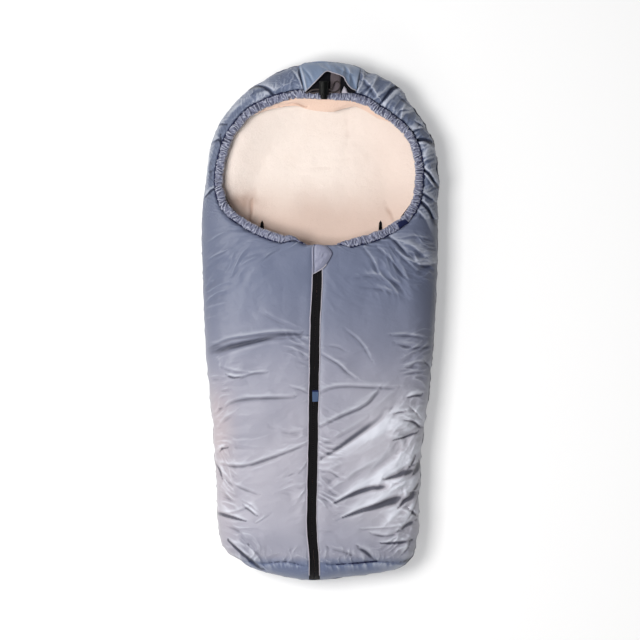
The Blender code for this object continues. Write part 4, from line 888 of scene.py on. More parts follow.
# Its tones there: painted warm reflection, painted light, painted shade at both edges, painted highlight on
# ridges, and the foot's tint
WARM_REFLECTION_TONE = lin(196, 180, 180)
PAINTED_LIGHT_TONE = lin(206, 203, 209)
RIGHT_EDGE_SHADE_TONE = lin(48, 52, 68)
LEFT_EDGE_SHADE_TONE = lin(84, 90, 108)
PAINTED_HIGHLIGHT_TONE = lin(230, 234, 244)
FOOT_TINT = (0.70, 0.82, 0.98)


def nylon(name, upper, lower, head=None, bumpy=1.0, deep=lin(20, 24, 46), depth=0.9, painted_highlight=0.32):
    """Coated cloth: a painted sheen makes it paler down the front, painted warm reflection, painted light and
    painted shade lie on parts of it, and its fold marks give painted shade in the valleys and painted
    highlights on the ridges.
    """
    look = Look(name, upper, 0.42, Sheen_Weight=0.04, Sheen_Roughness=0.4, Specular_IOR_Level=0.4)
    patch = look.noise(9.0, 2.0)
    # Painted sheen: the tone goes from upper to lower down the front, and back towards upper in the toe
    down = look.y.step(*SHEEN_DOWN_THE_FRONT)
    top = look.y.step(*INTO_THE_HOOD)
    shade = look.blend(top, look.blend(down, upper, lower), head or upper)
    shade = look.blend((patch - 0.42).at_least(0.0) * 1.1, shade, toned(upper, 0.80))
    shade = look.blend(look.y.step(*INTO_THE_TOE) * 0.30, shade, upper)
    shade = look.blend(look.y.step(*OVER_THE_FOOT) * 0.85, shade, toned(upper, *FOOT_TINT))
    # Painted warm reflection, patchy, on the lower left
    warm_reflection = look.x.step(*WARM_REFLECTION_IN_X) * look.y.step(*WARM_REFLECTION_IN_Y) * (patch * 1.6 - 0.3).at_least(0.0).at_most(1.0)
    shade = look.blend(warm_reflection * 0.7, shade, WARM_REFLECTION_TONE)
    # Painted light on the lower right of the front
    lit = look.x.step(*LIT_IN_X) * look.y.step(*LIT_FROM_ABOVE) * look.y.step(*LIT_FROM_BELOW)
    shade = look.blend(lit * 0.34, shade, PAINTED_LIGHT_TONE)
    # Painted shade along the right edge, weaker in the hood
    dim = look.x.step(*DIM_IN_X) * look.y.step(*DIM_IN_Y)
    shade = look.blend(dim * (0.50 - top * 0.25), shade, RIGHT_EDGE_SHADE_TONE)
    # Painted shade along the left edge
    edge = look.x.step(*EDGE_IN_X) * look.y.step(*EDGE_IN_Y)
    shade = look.blend(edge * 0.22, shade, LEFT_EDGE_SHADE_TONE)
    # Painted shade in the valleys of the folds and painted highlights on their ridges, from each point's fold
    # mark
    valley = (look.fold() * -1.0 - 0.12).at_least(0.0).at_most(1.0)
    ridge = (look.fold() - 0.15).at_least(0.0).at_most(1.0)
    shade = look.blend(valley * depth, shade, deep)
    look.paint(look.blend(ridge * (down * 0.3 + top * 0.2 + painted_highlight), shade, PAINTED_HIGHLIGHT_TONE))
    weave = (look.x * 5200.0).sin() * (look.y * 5200.0).sin()
    creased = look.noise(150.0, 5.0, 0.62, distortion=0.35)
    soft = look.noise(46.0, 3.0, 0.5, distortion=0.6)
    look.bump(weave * 0.03 + creased * 0.55 * bumpy + soft * 1.3 * bumpy, 0.0016, 0.5)
    return look.mat


def fleece(name, upper, lower):
    """Curly pile, a little darker to the right and at the chest, with painted light along its left edge and
    painted shade in the valleys of its folds.
    """
    look = Look(name, upper, 0.95, Sheen_Weight=0.35, Sheen_Roughness=0.6, Specular_IOR_Level=0.15)
    curls = look.noise(420.0, 4.0, 0.65, distortion=0.8)
    tufts = look.noise(120.0, 3.0, 0.6, distortion=0.6)
    broad = look.noise(16.0, 2.0)
    down = (look.y + broad * 0.05 - 0.025).step(0.230, 0.150)
    shade = look.blend(look.x.step(0.0, 0.13) * 0.5, upper, lower)
    # Painted light along the left edge, lifting the band's shadow there
    shade = look.blend(look.x.step(-0.100, -0.145), shade, toned(upper, 1.12))
    shade = look.blend(down, shade, lower)
    parted = (broad - 0.5).at_least(0.0) * 0.5 + (tufts - 0.5).at_least(0.0) * 0.3
    shade = look.blend(parted, shade, toned(lower, 0.92, 0.88, 0.84))
    # Painted shade, brown, in the valleys of the folds and on the shaded places
    look.paint(look.blend((look.fold() * -1.0).step(0.15, 1.2) * 0.75, shade, lin(168, 136, 120)))
    look.bump(curls * 0.6 + tufts * 0.7, 0.0018, 0.6)
    return look.mat


def plain(name, color, roughness, grain_scale=600.0, grain_depth=0.0003, **fixed):
    """One colour with a fine grain."""
    look = Look(name, color, roughness, **fixed)
    grain = look.noise(grain_scale, 4.0, 0.6)
    look.paint(look.blend((grain - 0.4).at_least(0.0) * 1.4, color, toned(color, 0.85)))
    look.rough(grain * 0.12 + (roughness - 0.06))
    look.bump(grain, grain_depth)
    return look.mat


def ribbed(name, color, roughness, pitch):
    """Woven tape: fine ribs across it."""
    look = Look(name, color, roughness, Specular_IOR_Level=0.2)
    sway = (look.x * (2 * math.pi / (pitch * 1.7))).sin() * 1.2
    ribs = (look.y * (2 * math.pi / pitch) + sway).sin()
    grain = look.noise(900.0, 3.0)
    pale = tuple(min(c * 1.6 + 0.001, 1) for c in color)
    look.paint(look.blend((ribs * 0.5 + 0.5) * 0.6 + grain * 0.3, color, pale))
    look.bump(ribs * 0.5 + grain * 0.5, 0.0004, 0.8)
    return look.mat


# The cloth's tone high on the front, and that tone paled by the painted sheen lower down
UPPER = lin(103, 110, 132)
LOWER = lin(164, 162, 173)
PETAL_TONE = lin(130, 132, 152)
FLAP_TONE = lin(119, 135, 161)
FACING_TONE = lin(228, 198, 180)
SHELL = nylon("shell_cloth", UPPER, LOWER, head=lin(98, 108, 132))
UNDER = nylon("back_cloth", UPPER, LOWER)
PETAL = nylon("petal_cloth", PETAL_TONE, PETAL_TONE)
FLAP = nylon("flap_cloth", FLAP_TONE, FLAP_TONE, deep=lin(18, 22, 44), painted_highlight=0.30)
BANDCLOTH = nylon("band_cloth", lin(116, 119, 141), lin(112, 114, 136), bumpy=0.5, deep=lin(24, 26, 50),
                  depth=0.95, painted_highlight=0.50)
PIPING = plain("piping", lin(176, 172, 182), 0.6, 900.0, 0.0002)
THREAD_AND_SEAM_SHADE = plain("seam_thread_and_shade", lin(26, 30, 62), 0.8, 1200.0, 0.0002)
PETAL_EDGE_SHADE_CLOTH = plain("petal_edge_shade", lin(70, 72, 92), 0.7, 900.0, 0.0002)
FLEECE = fleece("fleece", lin(236, 223, 214), lin(212, 190, 178))
FLEECE_IN = fleece("fleece_inside", lin(246, 230, 216), lin(236, 217, 204))
FACING = fleece("fleece_facing", FACING_TONE, FACING_TONE)
TAPE = ribbed("zip_tape", lin(12, 11, 13), 0.75, 0.0016)
CORD = ribbed("cord_cloth", lin(60, 54, 54), 0.8, 0.0022)
BINDING = ribbed("binding", lin(14, 14, 17), 0.75, 0.0014)
WEBBING = ribbed("strap_webbing", lin(88, 80, 84), 0.75, 0.0018)
FLAP_SHADE_CLOTH = ribbed("flap_shade_cloth", lin(15, 15, 20), 0.7, 0.0016)
TABBLUE = ribbed("blue_tab", lin(68, 84, 112), 0.7, 0.0009)
NAVY = ribbed("navy_tab", lin(24, 30, 62), 0.7, 0.0009)
COIL = plain("zip_coil", lin(22, 22, 25), 0.4)
METAL = plain("dark_metal", lin(70, 70, 74), 0.34, Metallic=1.0)
STEEL = plain("spring_steel", lin(190, 190, 195), 0.3, Metallic=1.0)
PLASTIC = plain("lock_plastic", lin(4, 6, 5), 0.5, 900.0, 0.0001, Specular_IOR_Level=0.25)


# Drawcord: its route through the right of the casing, round the lock and back through the left, in mm
CASING_RIGHT = [
    (124.9, 158.7, 88.2), (143.6, 185.7, 83.2), (153.1, 217.1, 78.8), (152.5, 250.0, 75.4),
    (143.0, 281.4, 74.4), (123.9, 308.1, 76.8), (97.6, 327.7, 79.6), (67.2, 340.1, 81.2),
    (34.9, 346.5, 82.2), (2.0, 348.2, 82.7),
]
FREE_CORD = [
    (-10.0, 348.7, 87.1), (-13.5, 350.1, 94.4), (-10.0, 349.1, 101.4), (-4.5, 350.3, 102.9),
    (6.0, 350.3, 102.9), (16.5, 350.3, 102.9), (23.0, 350.8, 100.0), (29.0, 355.3, 95.4),
    (31.0, 362.3, 91.4), (27.0, 367.3, 91.4), (21.5, 365.3, 94.8), (18.5, 357.7, 99.4),
    (15.3, 354.7, 102.3), (6.0, 354.7, 102.9), (-4.5, 354.7, 102.9), (-12.0, 353.9, 101.6),
    (-19.5, 350.2, 95.2), (-24.0, 349.4, 86.7),
]
CASING_LEFT = [
    (-31.5, 346.9, 82.3), (-60.7, 341.9, 81.4), (-88.7, 332.2, 80.2), (-114.0, 316.9, 78.0),
    (-134.6, 295.6, 75.4), (-148.0, 269.3, 74.3), (-153.4, 240.2, 76.3), (-152.0, 210.7, 79.7),
    (-142.1, 182.8, 83.6), (-124.9, 158.7, 88.2),
]
CORD_WIDTH = 0.0026


def make_cord():
    route = spline(np.array(CASING_RIGHT + FREE_CORD + CASING_LEFT) * MM, 6)
    curve = bpy.data.curves.new("drawcord_line", "CURVE")
    curve.dimensions = "3D"
    curve.bevel_depth = CORD_WIDTH / 2
    curve.bevel_resolution = 3
    curve.use_fill_caps = True
    line = curve.splines.new("POLY")
    line.points.add(len(route) - 1)
    for point, at in zip(line.points, route):
        point.co = (*at, 1)
    cord = wear(linked("drawcord_line", curve), CORD, "sack_back", ("drawcord",))


make_cord()


# Outer cloth, with the shares by which it is cut too large: in general, and where it is loose
HOOD_SPARE = (0.03, 0.12)
FRONT_SPARE = (0.03, 0.14)


def shell_height(x, y, creases):
    """Height of the padded shell over plan points, before gathers at its edges."""
    plan_x, plan_y = drawn_back(x, y)
    even = unbulge(plan_x, plan_y)
    r = np.clip(ratio(even, plan_y), 0, 1)
    rise = smooth(1.0, 0.90, r)
    z = front_z(even, plan_y) + relief(x, y, creases) * rise
    z = z + crumples(x, y) * smooth(1.0, 0.95, r)
    return z + (cloud(x, y, 0.070, 3.3) * 2.0 + cloud(x, y, 0.026, 9.1) * 0.7) * MM * rise


def above_chest(line):
    """The part of a line above the chest, with both its ends at the chest's height."""
    keep = np.flatnonzero(line[:, 1] >= CHEST_Y)
    line = line[keep[0]:keep[-1] + 1].copy()
    line[[0, -1], 1] = CHEST_Y
    return line


def hood_gathers(z, s, w, span, under_flap):
    """The hood's height with its gathers, which are flat under the flap."""
    run = (s * rim_length)[:, None] + 0 * span
    strong = (0.18 + 1.15 * smooth(0.56, 0.42, s) * smooth(0.0, 0.10, s))[:, None]
    strong = strong * (1 - 0.75 * under_flap) * (smooth(0, 0.05, s) * smooth(1, 0.95, s))[:, None]
    bend = 0.005 * np.sin(span / 0.012 + run * 40)
    radial = waves(run + bend, 2.0, 0.030)
    puff = waves(run + bend * 0.5, 4.0, 0.0150)
    fine = waves(run, 6.0, 0.0075)
    middle = np.sin(np.pi * np.clip(w, 0, 1))[None, :] ** 0.6
    z = z + (radial * 3.0 * strong * middle + puff * 1.3 * (0.12 + strong) * np.exp(-span / 0.014)) * MM
    return z + fine * 0.5 * np.exp(-span / 0.005) * MM - 0.0070 * np.exp(-(span / 0.0045) ** 1.2)


def hood_slack(s, x, under_flap):
    """How firmly the hood's points are held, and where its cloth is loose."""
    pins = 0.16 + 0.5 * smooth(0.50, 0.66, s)[:, None] + 0 * x
    pins[:, :2] = pins[:, -4:] = 1
    pins[:2] = pins[-2:] = 1
    loose = smooth(0.50, 0.38, s)[:, None] * smooth(0.02, 0.10, s)[:, None] * (1 - under_flap)
    return np.maximum(pins, under_flap), loose


def hood_points(nu=481, nv=57):
    s = np.linspace(0, 1, nu)
    left, right = outline_half(-1), outline_half(1)
    outer = np.vstack([right[right[:, 1] >= CHEST_Y], left[left[:, 1] >= CHEST_Y][::-1]])
    outer[[0, -1], 1] = CHEST_Y
    a, b = along(outer, s), along(above_chest(seam_line[::-1]), s)
    w = np.linspace(0, 1, nv) ** 1.35
    x, y = between(a, b, w)
    span = np.linalg.norm(b - a, axis=1)[:, None] * (1 - w)[None, :]
    z = shell_height(x, y, HOOD_CREASES + LEFT_CREASES + RIGHT_CREASES)
    z = np.where(w[None, :] == 0, SEAM_Z, z)
    under_flap = np.exp(-((x - 0.012) / 0.050) ** 4) * smooth(0.30, 0.34, y)
    z = hood_gathers(z, s, w, span, under_flap)
    y[[0, -1]] = CHEST_Y
    points = settle(np.stack([x, y, z], -1), *hood_slack(s, x, under_flap), HOOD_SPARE, cap=0.006)
    points[2:-2, 2:, 2] += relief(x, y, SHARP_HOOD)[2:-2, 2:]
    return points


# Shares of the way up the front at which its rows reach the foot's seam, the foot's corner and the chin
FOOT_SHARE = 0.07
KNEE_SHARE = 0.18
CHIN_SHARE = 0.76
ZIP_ROWS = 240
ZIP_EDGE = STRIP / 2 + 0.0008


def front_outer(side):
    """A front's edge along the side seam, from the zip at the foot to the chest."""
    full = np.vstack([outline_half(-side)[1:][::-1], outline_half(side)])
    foot_x = zip_x(FOOT_Y) + side * ZIP_EDGE
    start = next(k for k in range(len(full)) if side * full[k, 0] >= side * foot_x and full[k, 1] < TOE_Y)
    full = full[start:]
    outer = full[full[:, 1] <= CHEST_Y]
    outer[-1, 1] = CHEST_Y
    return outer


def front_inner(side, foot):
    """Its other edge, from the foot up the zip and on along the gathered band."""
    band = seam_line if side < 0 else seam_line[::-1]
    band = band[(band[:, 1] <= CHEST_Y) & (side * band[:, 0] > 0)]
    band = band[side * band[:, 0] > side * (zip_x(band[:, 1]) + side * ZIP_EDGE)]
    band = band[np.argsort(side * band[:, 0])]
    band[-1, 1] = CHEST_Y
    rows = np.linspace(FOOT_SEAM_Y, band[0, 1] - 0.001, ZIP_ROWS)
    wobble = waves(rows, 50.0 + side, 0.05) * 0.00045
    return np.vstack([[foot], np.stack([zip_x(rows) + side * ZIP_EDGE + wobble, rows], -1), band])


def matched(line, run, t, knots):
    """Points of a line for the grid's shares t; the knots pair shares with distances along the line."""
    where = np.interp(t, list(knots), list(knots.values()))
    return np.stack([np.interp(where, run, line[:, k]) for k in (0, 1)], -1)


def front_edges(side, t):
    """A front's two edges, matched so that the grid's rows run straight across."""
    outer = front_outer(side)
    inner = front_inner(side, outer[0])
    outer_run = run_along(outer)
    inner_run = run_along(inner)
    foot, knee, chin = (outer_run[np.argmax((outer[:, 1] >= level) & (side * outer[:, 0] > 0.03))]
                        for level in (FOOT_SEAM_Y, TOE_Y, CHIN_Y - 0.060))
    outer_knots = {0: 0, FOOT_SHARE: foot, KNEE_SHARE: knee, CHIN_SHARE: chin, 1: outer_run[-1]}
    inner_knots = {0: 0, FOOT_SHARE * 0.5: inner_run[1] * 0.28, FOOT_SHARE: inner_run[1],
                   KNEE_SHARE: inner_run[1] + TOE_Y - FOOT_SEAM_Y, CHIN_SHARE: inner_run[ZIP_ROWS],
                   1: inner_run[-1]}
    return matched(outer, outer_run, t, outer_knots), matched(inner, inner_run, t, inner_knots)


def front_gathers(z, side, t, y, b, span):
    """A front's height with its gathers along the band and the zip."""
    on_band = smooth(CHIN_SHARE - 0.01, CHIN_SHARE + 0.03, t)[:, None]
    run = run_along(b)[:, None] + 0 * span
    band_run = run[-1, 0] - run + side * 0.5
    bend = 0.004 * np.sin(span / 0.013 + run * 40)
    puff = waves(band_run + bend, 2.0 + side, 0.015)
    fine = waves(band_run, 6.0 + side, 0.0065)
    drawn_up = on_band * smooth(1, 0.96, t)[:, None]
    z = z + drawn_up * (puff * 1.7 * np.exp(-span / 0.020) + fine * 0.7 * np.exp(-span / 0.006)) * MM
    z = z - on_band * 0.0070 * np.exp(-(span / 0.0045) ** 1.2)
    low = smooth(0.02, -0.05, y)
    zip_puff = waves(run + bend * 1.5, 24.0 + side, 0.021)
    z = z + (1 - on_band) * zip_puff * (0.2 + 0.8 * low) * MM * np.exp(-span / 0.016)
    return z - (1 - on_band) * 0.0020 * np.exp(-(span / 0.0040) ** 1.3)


def front_slack(side, y, out, groove):
    """How firmly a front's points are held, and where its cloth is loose."""
    pins = 0.14 + 0.8 * groove
    pins[:, :2] = pins[:, -3:] = 1
    pins[:2] = pins[-2:] = 1
    rim_side = smooth(0.60, 0.98, out)
    loose = rim_side * smooth(0.0, -0.10, y) * (1.0 if side > 0 else 0.6)
    loose = np.maximum(loose, rim_side * smooth(0.02, 0.09, y) * 0.7)
    pins = np.where(pins < 0.5, pins * (1 - 0.6 * loose), pins)
    return np.clip(pins, 0, 1), np.clip(loose, 0, 1)


def front_points(side, nu=441, nv=141):
    t = np.linspace(0, 1, nu)
    a, b = front_edges(side, t)
    w = 1 - (1 - np.linspace(0, 1, nv) ** 1.35) ** 1.12
    x, y = between(a, b, w)
    span = np.linalg.norm(b - a, axis=1)[:, None] * (1 - w)[None, :]
    z = front_gathers(shell_height(x, y, CREASES[side] + HOOD_CREASES), side, t, y, b, span)
    level = y - foot_seam_y(x)
    groove = np.exp(-np.abs(level) / 0.0026) * smooth(0.006, 0.02, np.abs(x - zip_x(y)))
    gather = waves(x + 0.3 + level * 0.25, 21.0, 0.011) * np.exp(-np.abs(level) / 0.009)
    out = out_share(x, y)
    inside = smooth(1.0, 0.93, out)
    z = z - (groove * 3.4 - gather * 1.1) * MM * inside
    z = np.where((w[None, :] == 0) | (t[:, None] == 0), SEAM_Z, z)
    points = settle(np.stack([x, y, z], -1), *front_slack(side, y, out, groove), FRONT_SPARE, cap=0.007)
    points[2:-2, 2:, 2] += (relief(x, y, SHARP[side]) * inside)[2:-2, 2:]
    return points


hood_grid = hood_points()
# The hood's fold marks give painted shade in its valleys and painted highlights on its ridges
hood = grid_piece("hood_cover", hood_grid, marks=shading(hood_grid, (HOOD_CREASES, 0.7), (SHARP_HOOD, 1.2)))
wear(hood, SHELL, "sack_back", ("hood_shell", "hood_wadding"))
front_grids = {}
fronts = {}
for side, word in SIDES.items():
    grid = front_grids[side] = front_points(side)
    # The fronts' fold marks give painted shade in their valleys and painted highlights on their ridges
    marks = shading(grid, (CREASES[side], 0.3), (HOOD_CREASES, 0.7), (SHARP_HOOD, 1.2), (SHARP[side], 1.5))
    fronts[side] = grid_piece("front_%s_cover" % word, grid, flip=side < 0, marks=marks)
    wear(fronts[side], SHELL, "%s_front" % word,
         ("front_%s_shell" % word, "front_%s_wadding" % word, "foot_panel_%s" % word))


def back_points(nu=1000, nv=36):
    left, right = outline_half(-1), outline_half(1)
    ring = np.vstack([right, left[::-1][1:]])
    a = along(ring, np.linspace(0, 1, nu)) * (0.9975, 0.999)
    spine = np.clip(a[:, 1], TOE_Y, CHEST_Y)
    w = np.linspace(0, 1, nv) ** 1.7
    x, y = between(a, np.stack([0 * spine, spine], -1), w)
    z = np.where(w[None, :] == 0, SEAM_Z, back_z(unbulge(x, y), y))
    return np.stack([x, y, z], -1)


def slit_half(share):
    """Half width of a harness slit along its length: drawn to a point at both ends."""
    return 0.0021 * np.minimum(1, 3.5 * np.minimum(share, 1 - share)) ** 0.8 + 0.0001


def in_slot(p, grown=0.0010):
    for sx, y0, y1 in SLOTS:
        share = (p.y - y0) / (y1 - y0)
        if 0 < share < 1 and abs(p.x - sx) < slit_half(share) + grown:
            return True
    return False


def near_slot(p):
    return any(abs(p.x - sx) < 0.007 and y0 - 0.004 < p.y < y1 + 0.004 for sx, y0, y1 in SLOTS)


back_grid = back_points()
# Its fold marks give faint painted shade in valleys and painted highlights on ridges
back = grid_piece("back_cover", back_grid, flip=True, slotted=True, marks=folds(back_grid) * 0.25)
wear(back, UNDER, "sack_back", ("back_shell", "back_wadding"))


# Fleece inside
# Creases of the lining; their valleys also carry painted shade
LINING_CREASES = [
    ([(308, 108.5), (298, 107), (284, 106.5)], 4, 0.0, 1.8),
    ([(253, 202), (252.5, 210), (251, 222)], (4, 2.5), 0.0, 2.6),
    ([(388, 204), (393, 212), (396, 222)], (9, 5), 0.0, 1.2),
    ([(306, 164), (326, 165), (346, 162)], 7, 0.0, 0.7),
    ([(350, 116), (351, 135), (350, 154)], 9, 0.0, 0.6),
    ([(330, 150), (345, 156), (362, 152)], 8, 0.3, 0.5),
]
# Shaded places of the lining: centre and reach in pixels, share
LINING_SHADOWS = [
    ((238, 201), (46, 16), 0.75),
    ((248, 212), (20, 20), 0.35),
]


def plan_grid(depth, nx=150, ny=300):
    """A plan grid squeezed into the outline, for the lining of the back."""
    ys = np.linspace(FOOT_Y + depth, HEAD_Y - depth, ny)
    half = np.minimum(half_width(ys), half_width(ys - depth * 0.45))
    half = np.maximum(half - depth * 0.6, 0.0)
    x = np.linspace(-1, 1, nx)[:, None] * half[None, :]
    y = np.broadcast_to(ys[None, :], x.shape)
    return bulge(x, y), y.copy()


def lining_height(x, y):
    """Height of the fleece: on the back's wadding below, and plump in the face opening."""
    even = unbulge(x, y)
    r = np.clip(ratio(even, y), 0, 1)
    z = np.minimum(back_z(even, y, LINING_DEPTH), SEAM_Z)
    plump = 0.019 + 0.013 * smooth(0.55, 0.85, r)
    z = np.where(z < SEAM_Z, z + plump * smooth(-0.08, 0.13, y) * smooth(0.995, 0.90, r), z)
    soft = smooth(1.0, 0.75, r)
    z = z + (cloud(x, y, 0.060, 14.0) * 1.6 + cloud(x, y, 0.018, 4.4) * 0.5 + 0.3) * MM * soft
    return z + relief(x, y, LINING_CREASES) * soft


lining_x, lining_y = plan_grid(0.010)
lining_grid = np.stack([lining_x, lining_y, lining_height(lining_x, lining_y)], -1)
# The lining's marks: painted shade in its creases and on the shaded places
soft_marks = shading(lining_grid, (LINING_CREASES, 0.8))
for place, reach, share in LINING_SHADOWS:
    soft_marks = soft_marks - share * spot(lining_x, lining_y, *place, *reach, 0.0)
lining = grid_piece("back_fleece", lining_grid, slotted=True, marks=np.clip(soft_marks, -1, 1))
wear(lining, FLEECE, "sack_back", ("back_lining",))


def slit_binding(name, sx, y0, y1, node):
    """A woven binding through the back: a lip on the fleece, a sleeve, and a lip outside."""
    share = np.concatenate([np.linspace(0, 1, 60), np.linspace(1, 0, 60)[1:-1], [0.0]])
    side = np.concatenate([np.ones(60), -np.ones(58), [1.0]])
    side[[0, 59, -1]] = 0
    y = y0 + (y1 - y0) * share
    top = lining_height(np.full_like(y, sx), y)
    half = slit_half(share)
    loops = []
    for open_by, out, z in ((1, 0.0022, top - 0.0008), (1, 0.0018, top + 0.0005), (1, 0.0008, top + 0.0008),
                            (1, 0.0, top + 0.0002), (0.1, 0.0, top - 0.0060), (0.1, 0.0, 0.010 + 0 * top),
                            (0.8, 0.0004, 0.0016 + 0 * top), (1, 0.0024, 0.0006 + 0 * top)):
        end = np.where(share == 0, -1, np.where(share == 1, 1, 0)) * out
        loops.append(np.stack([sx + side * (half * open_by + out), y + end, z], -1))
    wear(grid_piece(name, np.stack(loops, 1)), BINDING, "sack_back", (node,))


slit_binding("slit_binding_right", *SLOT_RIGHT, "harness_binding_right")
slit_binding("slit_binding_left", *SLOT_LEFT, "harness_binding_left")
slit_binding("slit_binding_crotch", *SLOT_CROTCH, "crotch_binding")


def lined(points):
    """The fleece under a padded cover: sewn to it along the edges, a pad's depth under it between them."""
    pts = points[::3, ::2].copy()
    d_in = np.linalg.norm(pts[:, -1:, :2] - pts[:, :, :2], axis=2)
    d_out = np.linalg.norm(pts[:, :1, :2] - pts[:, :, :2], axis=2)
    depth = 0.0060 + (LINING_DEPTH - 0.0060) * (1 - np.exp(-d_in / 0.014))
    pts[..., 2] = np.maximum(pts[..., 2] - depth, SEAM_Z - 0.004 + 0.0025 * np.exp(-d_out / 0.006))
    inward = np.stack([-pts[..., 0], np.clip(pts[..., 1], TOE_Y, CHEST_Y) - pts[..., 1]], -1)
    inward /= np.linalg.norm(inward, axis=2)[..., None] + 1e-6
    pts[..., :2] += inward * (0.0035 * np.exp(-d_out / 0.02))[..., None]
    return pts


hood_in = grid_piece("hood_fleece", lined(hood_grid), flip=True)
wear(hood_in, FLEECE_IN, "sack_back", ("hood_lining",))
for side, word in SIDES.items():
    piece = grid_piece("front_%s_fleece" % word, lined(front_grids[side]), flip=side > 0)
    wear(piece, FLEECE_IN, "%s_front" % word, ("front_%s_lining" % word,))


# Gathered band
def band_seat(line):
    """Height of the gathered band's middle beside plan points of its line."""
    out = offset(line, BAND / 2)
    return front_top(out[:, 0], out[:, 1]) - BAND_SINK


def band_piece(name, start, end, sides=28):
    """A casing drawn up on its cord: a flattened tube with fine pleats across it."""
    s = np.linspace(start, end, int((end - start) * rim_length / 0.00055))
    line = along(offset(rim, band_width[:, None] / 2), s)
    seat = band_seat(line)
    own_width = np.interp(s, rim_share, band_width)
    normal = outward(line)
    run = s * rim_length
    broad = waves(run, 43.0, 0.0130)
    line = line + (cloud(run, run * 0, 0.016, 60.0, 1) * 1.5)[:, None] * normal * MM
    turn = 2 * math.pi * (np.arange(sides + 1) / sides)
    pleats = pleat(*np.broadcast_arrays(run[:, None], np.cos(turn), np.sin(turn)))
    pleats[:, -1] = pleats[:, 0]
    rings = []
    for angle, own in zip(turn, pleats.T):
        wide = own_width / 2 * (1.0 + 0.10 * broad) + 0.75 * own * MM
        high = 0.0072 * (1.0 + 0.12 * broad) + 1.30 * own * MM
        flat = math.copysign(abs(math.sin(angle)) ** 0.7, math.sin(angle))
        z = seat + high * flat * np.sqrt(own_width / BAND)
        rings.append(np.column_stack([line + (wide * math.cos(angle))[:, None] * normal, z]))
    points = np.stack(rings, 1)
    face = grid_normals(points)
    face *= np.sign((face * (points - points.mean(1, keepdims=True))).sum(2))[..., None]
    # Pleat crests and hollows become marks for painted highlights and painted shade
    raised = ((points - blur(points, 5)) * face).sum(2)
    return grid_piece(name, points, marks=np.clip((raised - raised.mean()) / 0.0005, -1, 1))


chest_shares = rim_share[np.flatnonzero(np.diff(np.sign(offset(rim, BAND / 2)[:, 1] - CHEST_Y)))]
left_share, right_share = float(chest_shares[0]), float(chest_shares[-1])
hood_band = band_piece("hood_band_cloth", left_share, right_share)
wear(hood_band, BANDCLOTH, "sack_back", ("hood_band",))
left_band = band_piece("band_left_cloth", 0.0, left_share)
wear(left_band, BANDCLOTH, "left_front", ("band_left",))
right_band = band_piece("band_right_cloth", right_share, 1.0)
wear(right_band, BANDCLOTH, "right_front", ("band_right",))


# Zip
WELT_SPAN = (0.035, 0.757)


def tape_points(side):
    straight = np.linspace(CHIN_Y + 0.012, TOE_Y, 180)
    curved = TOE_Y - 0.083 * np.sin(np.linspace(0, math.pi / 2, 80)[1:])
    y = np.concatenate([straight, curved])
    top = front_z(zip_x(y), y) - 0.0026
    edge = STRIP / 2
    rows = [np.stack([zip_x(y) + o * side, y, top - 0.0022 * (o > edge + 0.0009)], -1)
            for o in (0.0002, 0.003, 0.0055, edge + 0.0002, edge + 0.0012, edge + 0.003)]
    return np.stack(rows, 0)


for side, word in SIDES.items():
    tape = grid_piece("zip_tape_%s_cloth" % word, tape_points(side))
    face_up(tape)
    wear(tape, TAPE, "%s_front" % word, ("zip_tape_%s" % word,))
    first, last = (int(len(front_grids[side]) * share) for share in WELT_SPAN)
    welt = front_grids[side][first:last, -1] + (-side * 0.0002, 0, 0.0004)
    wear(tube_piece("zip_welt_" + word, welt[::2], 0.0008), PIPING, "%s_front" % word)


# Seams
def seam_piece(name, start, end, body):
    """Stitching where the band is sewn on: a thick dark line, partly thread and partly painted shade in the
    seam's groove.
    """
    s = np.linspace(start, end, int((end - start) * rim_length / 0.0012))
    run = s * rim_length
    line = along(offset(rim, band_width[:, None] + 0.0002), s)
    away = line / np.linalg.norm(line, axis=1)[:, None]
    line = line + (waves(run, 71.0, 0.008) * 0.00045)[:, None] * away
    z = front_top(line[:, 0], line[:, 1]) - 0.0040 + waves(run, 73.0, 0.006) * 0.0006
    radius = 0.0009 + 0.0009 * waves(run, 75.0, 0.009) + 0.0008 * smooth(0.95, 0.985, s)
    radius = np.clip(radius, 0.0003, 0.0019)
    wear(tube_piece(name, np.column_stack([line, z]), radius), THREAD_AND_SEAM_SHADE, body)


def foot_seam_piece(name, body, x0, x1, bold):
    """Stitching across the foot, partly thread and partly painted shade, thick where the cloth is drawn up.
    """
    x = np.linspace(x0, x1, 160)
    y = foot_seam_y(x)
    z = front_top(x, y) - 0.0024 + waves(x + 1, 77.0, 0.008) * 0.0005
    radius = np.clip(bold * (0.6 + 0.4 * waves(x + 1, 78.0, 0.010)), 0.0002, 0.0020)
    wear(tube_piece(name, np.column_stack([x, y, z]), radius), THREAD_AND_SEAM_SHADE, body)


seam_piece("hood_band_seam", left_share, right_share, "sack_back")
seam_piece("band_left_seam", 0.004, left_share, "left_front")
seam_piece("band_right_seam", right_share, 0.996, "right_front")
foot_seam_piece("foot_left_seam", "left_front", -0.083, -0.022, 0.0006)
foot_seam_piece("foot_right_seam", "right_front", 0.024, 0.088, 0.0013)


# Tabs
def patch(name, corners, lift, look, body, slot, replaces=(), rows=12, cols=12, base=front_top, crown=0.0):
    """A small cloth piece over four plan corners, laid on the front with its edges turned under."""
    u, v = np.meshgrid(np.linspace(0, 1, cols), np.linspace(0, 1, rows), indexing="ij")
    x, y = ((a * (1 - u) + b * u) * (1 - v) + (d * (1 - u) + c * u) * v for a, b, c, d in zip(*corners))
    edge = np.minimum.reduce([u, 1 - u, v, 1 - v])
    z = base(x, y) + lift + crown * np.sin(np.pi * u) * np.sin(np.pi * v) - np.where(edge == 0, 0.0012, 0)
    piece = grid_piece(name, np.stack([x, y, z], -1))
    face_up(piece)
    wear(piece, look, body, replaces)


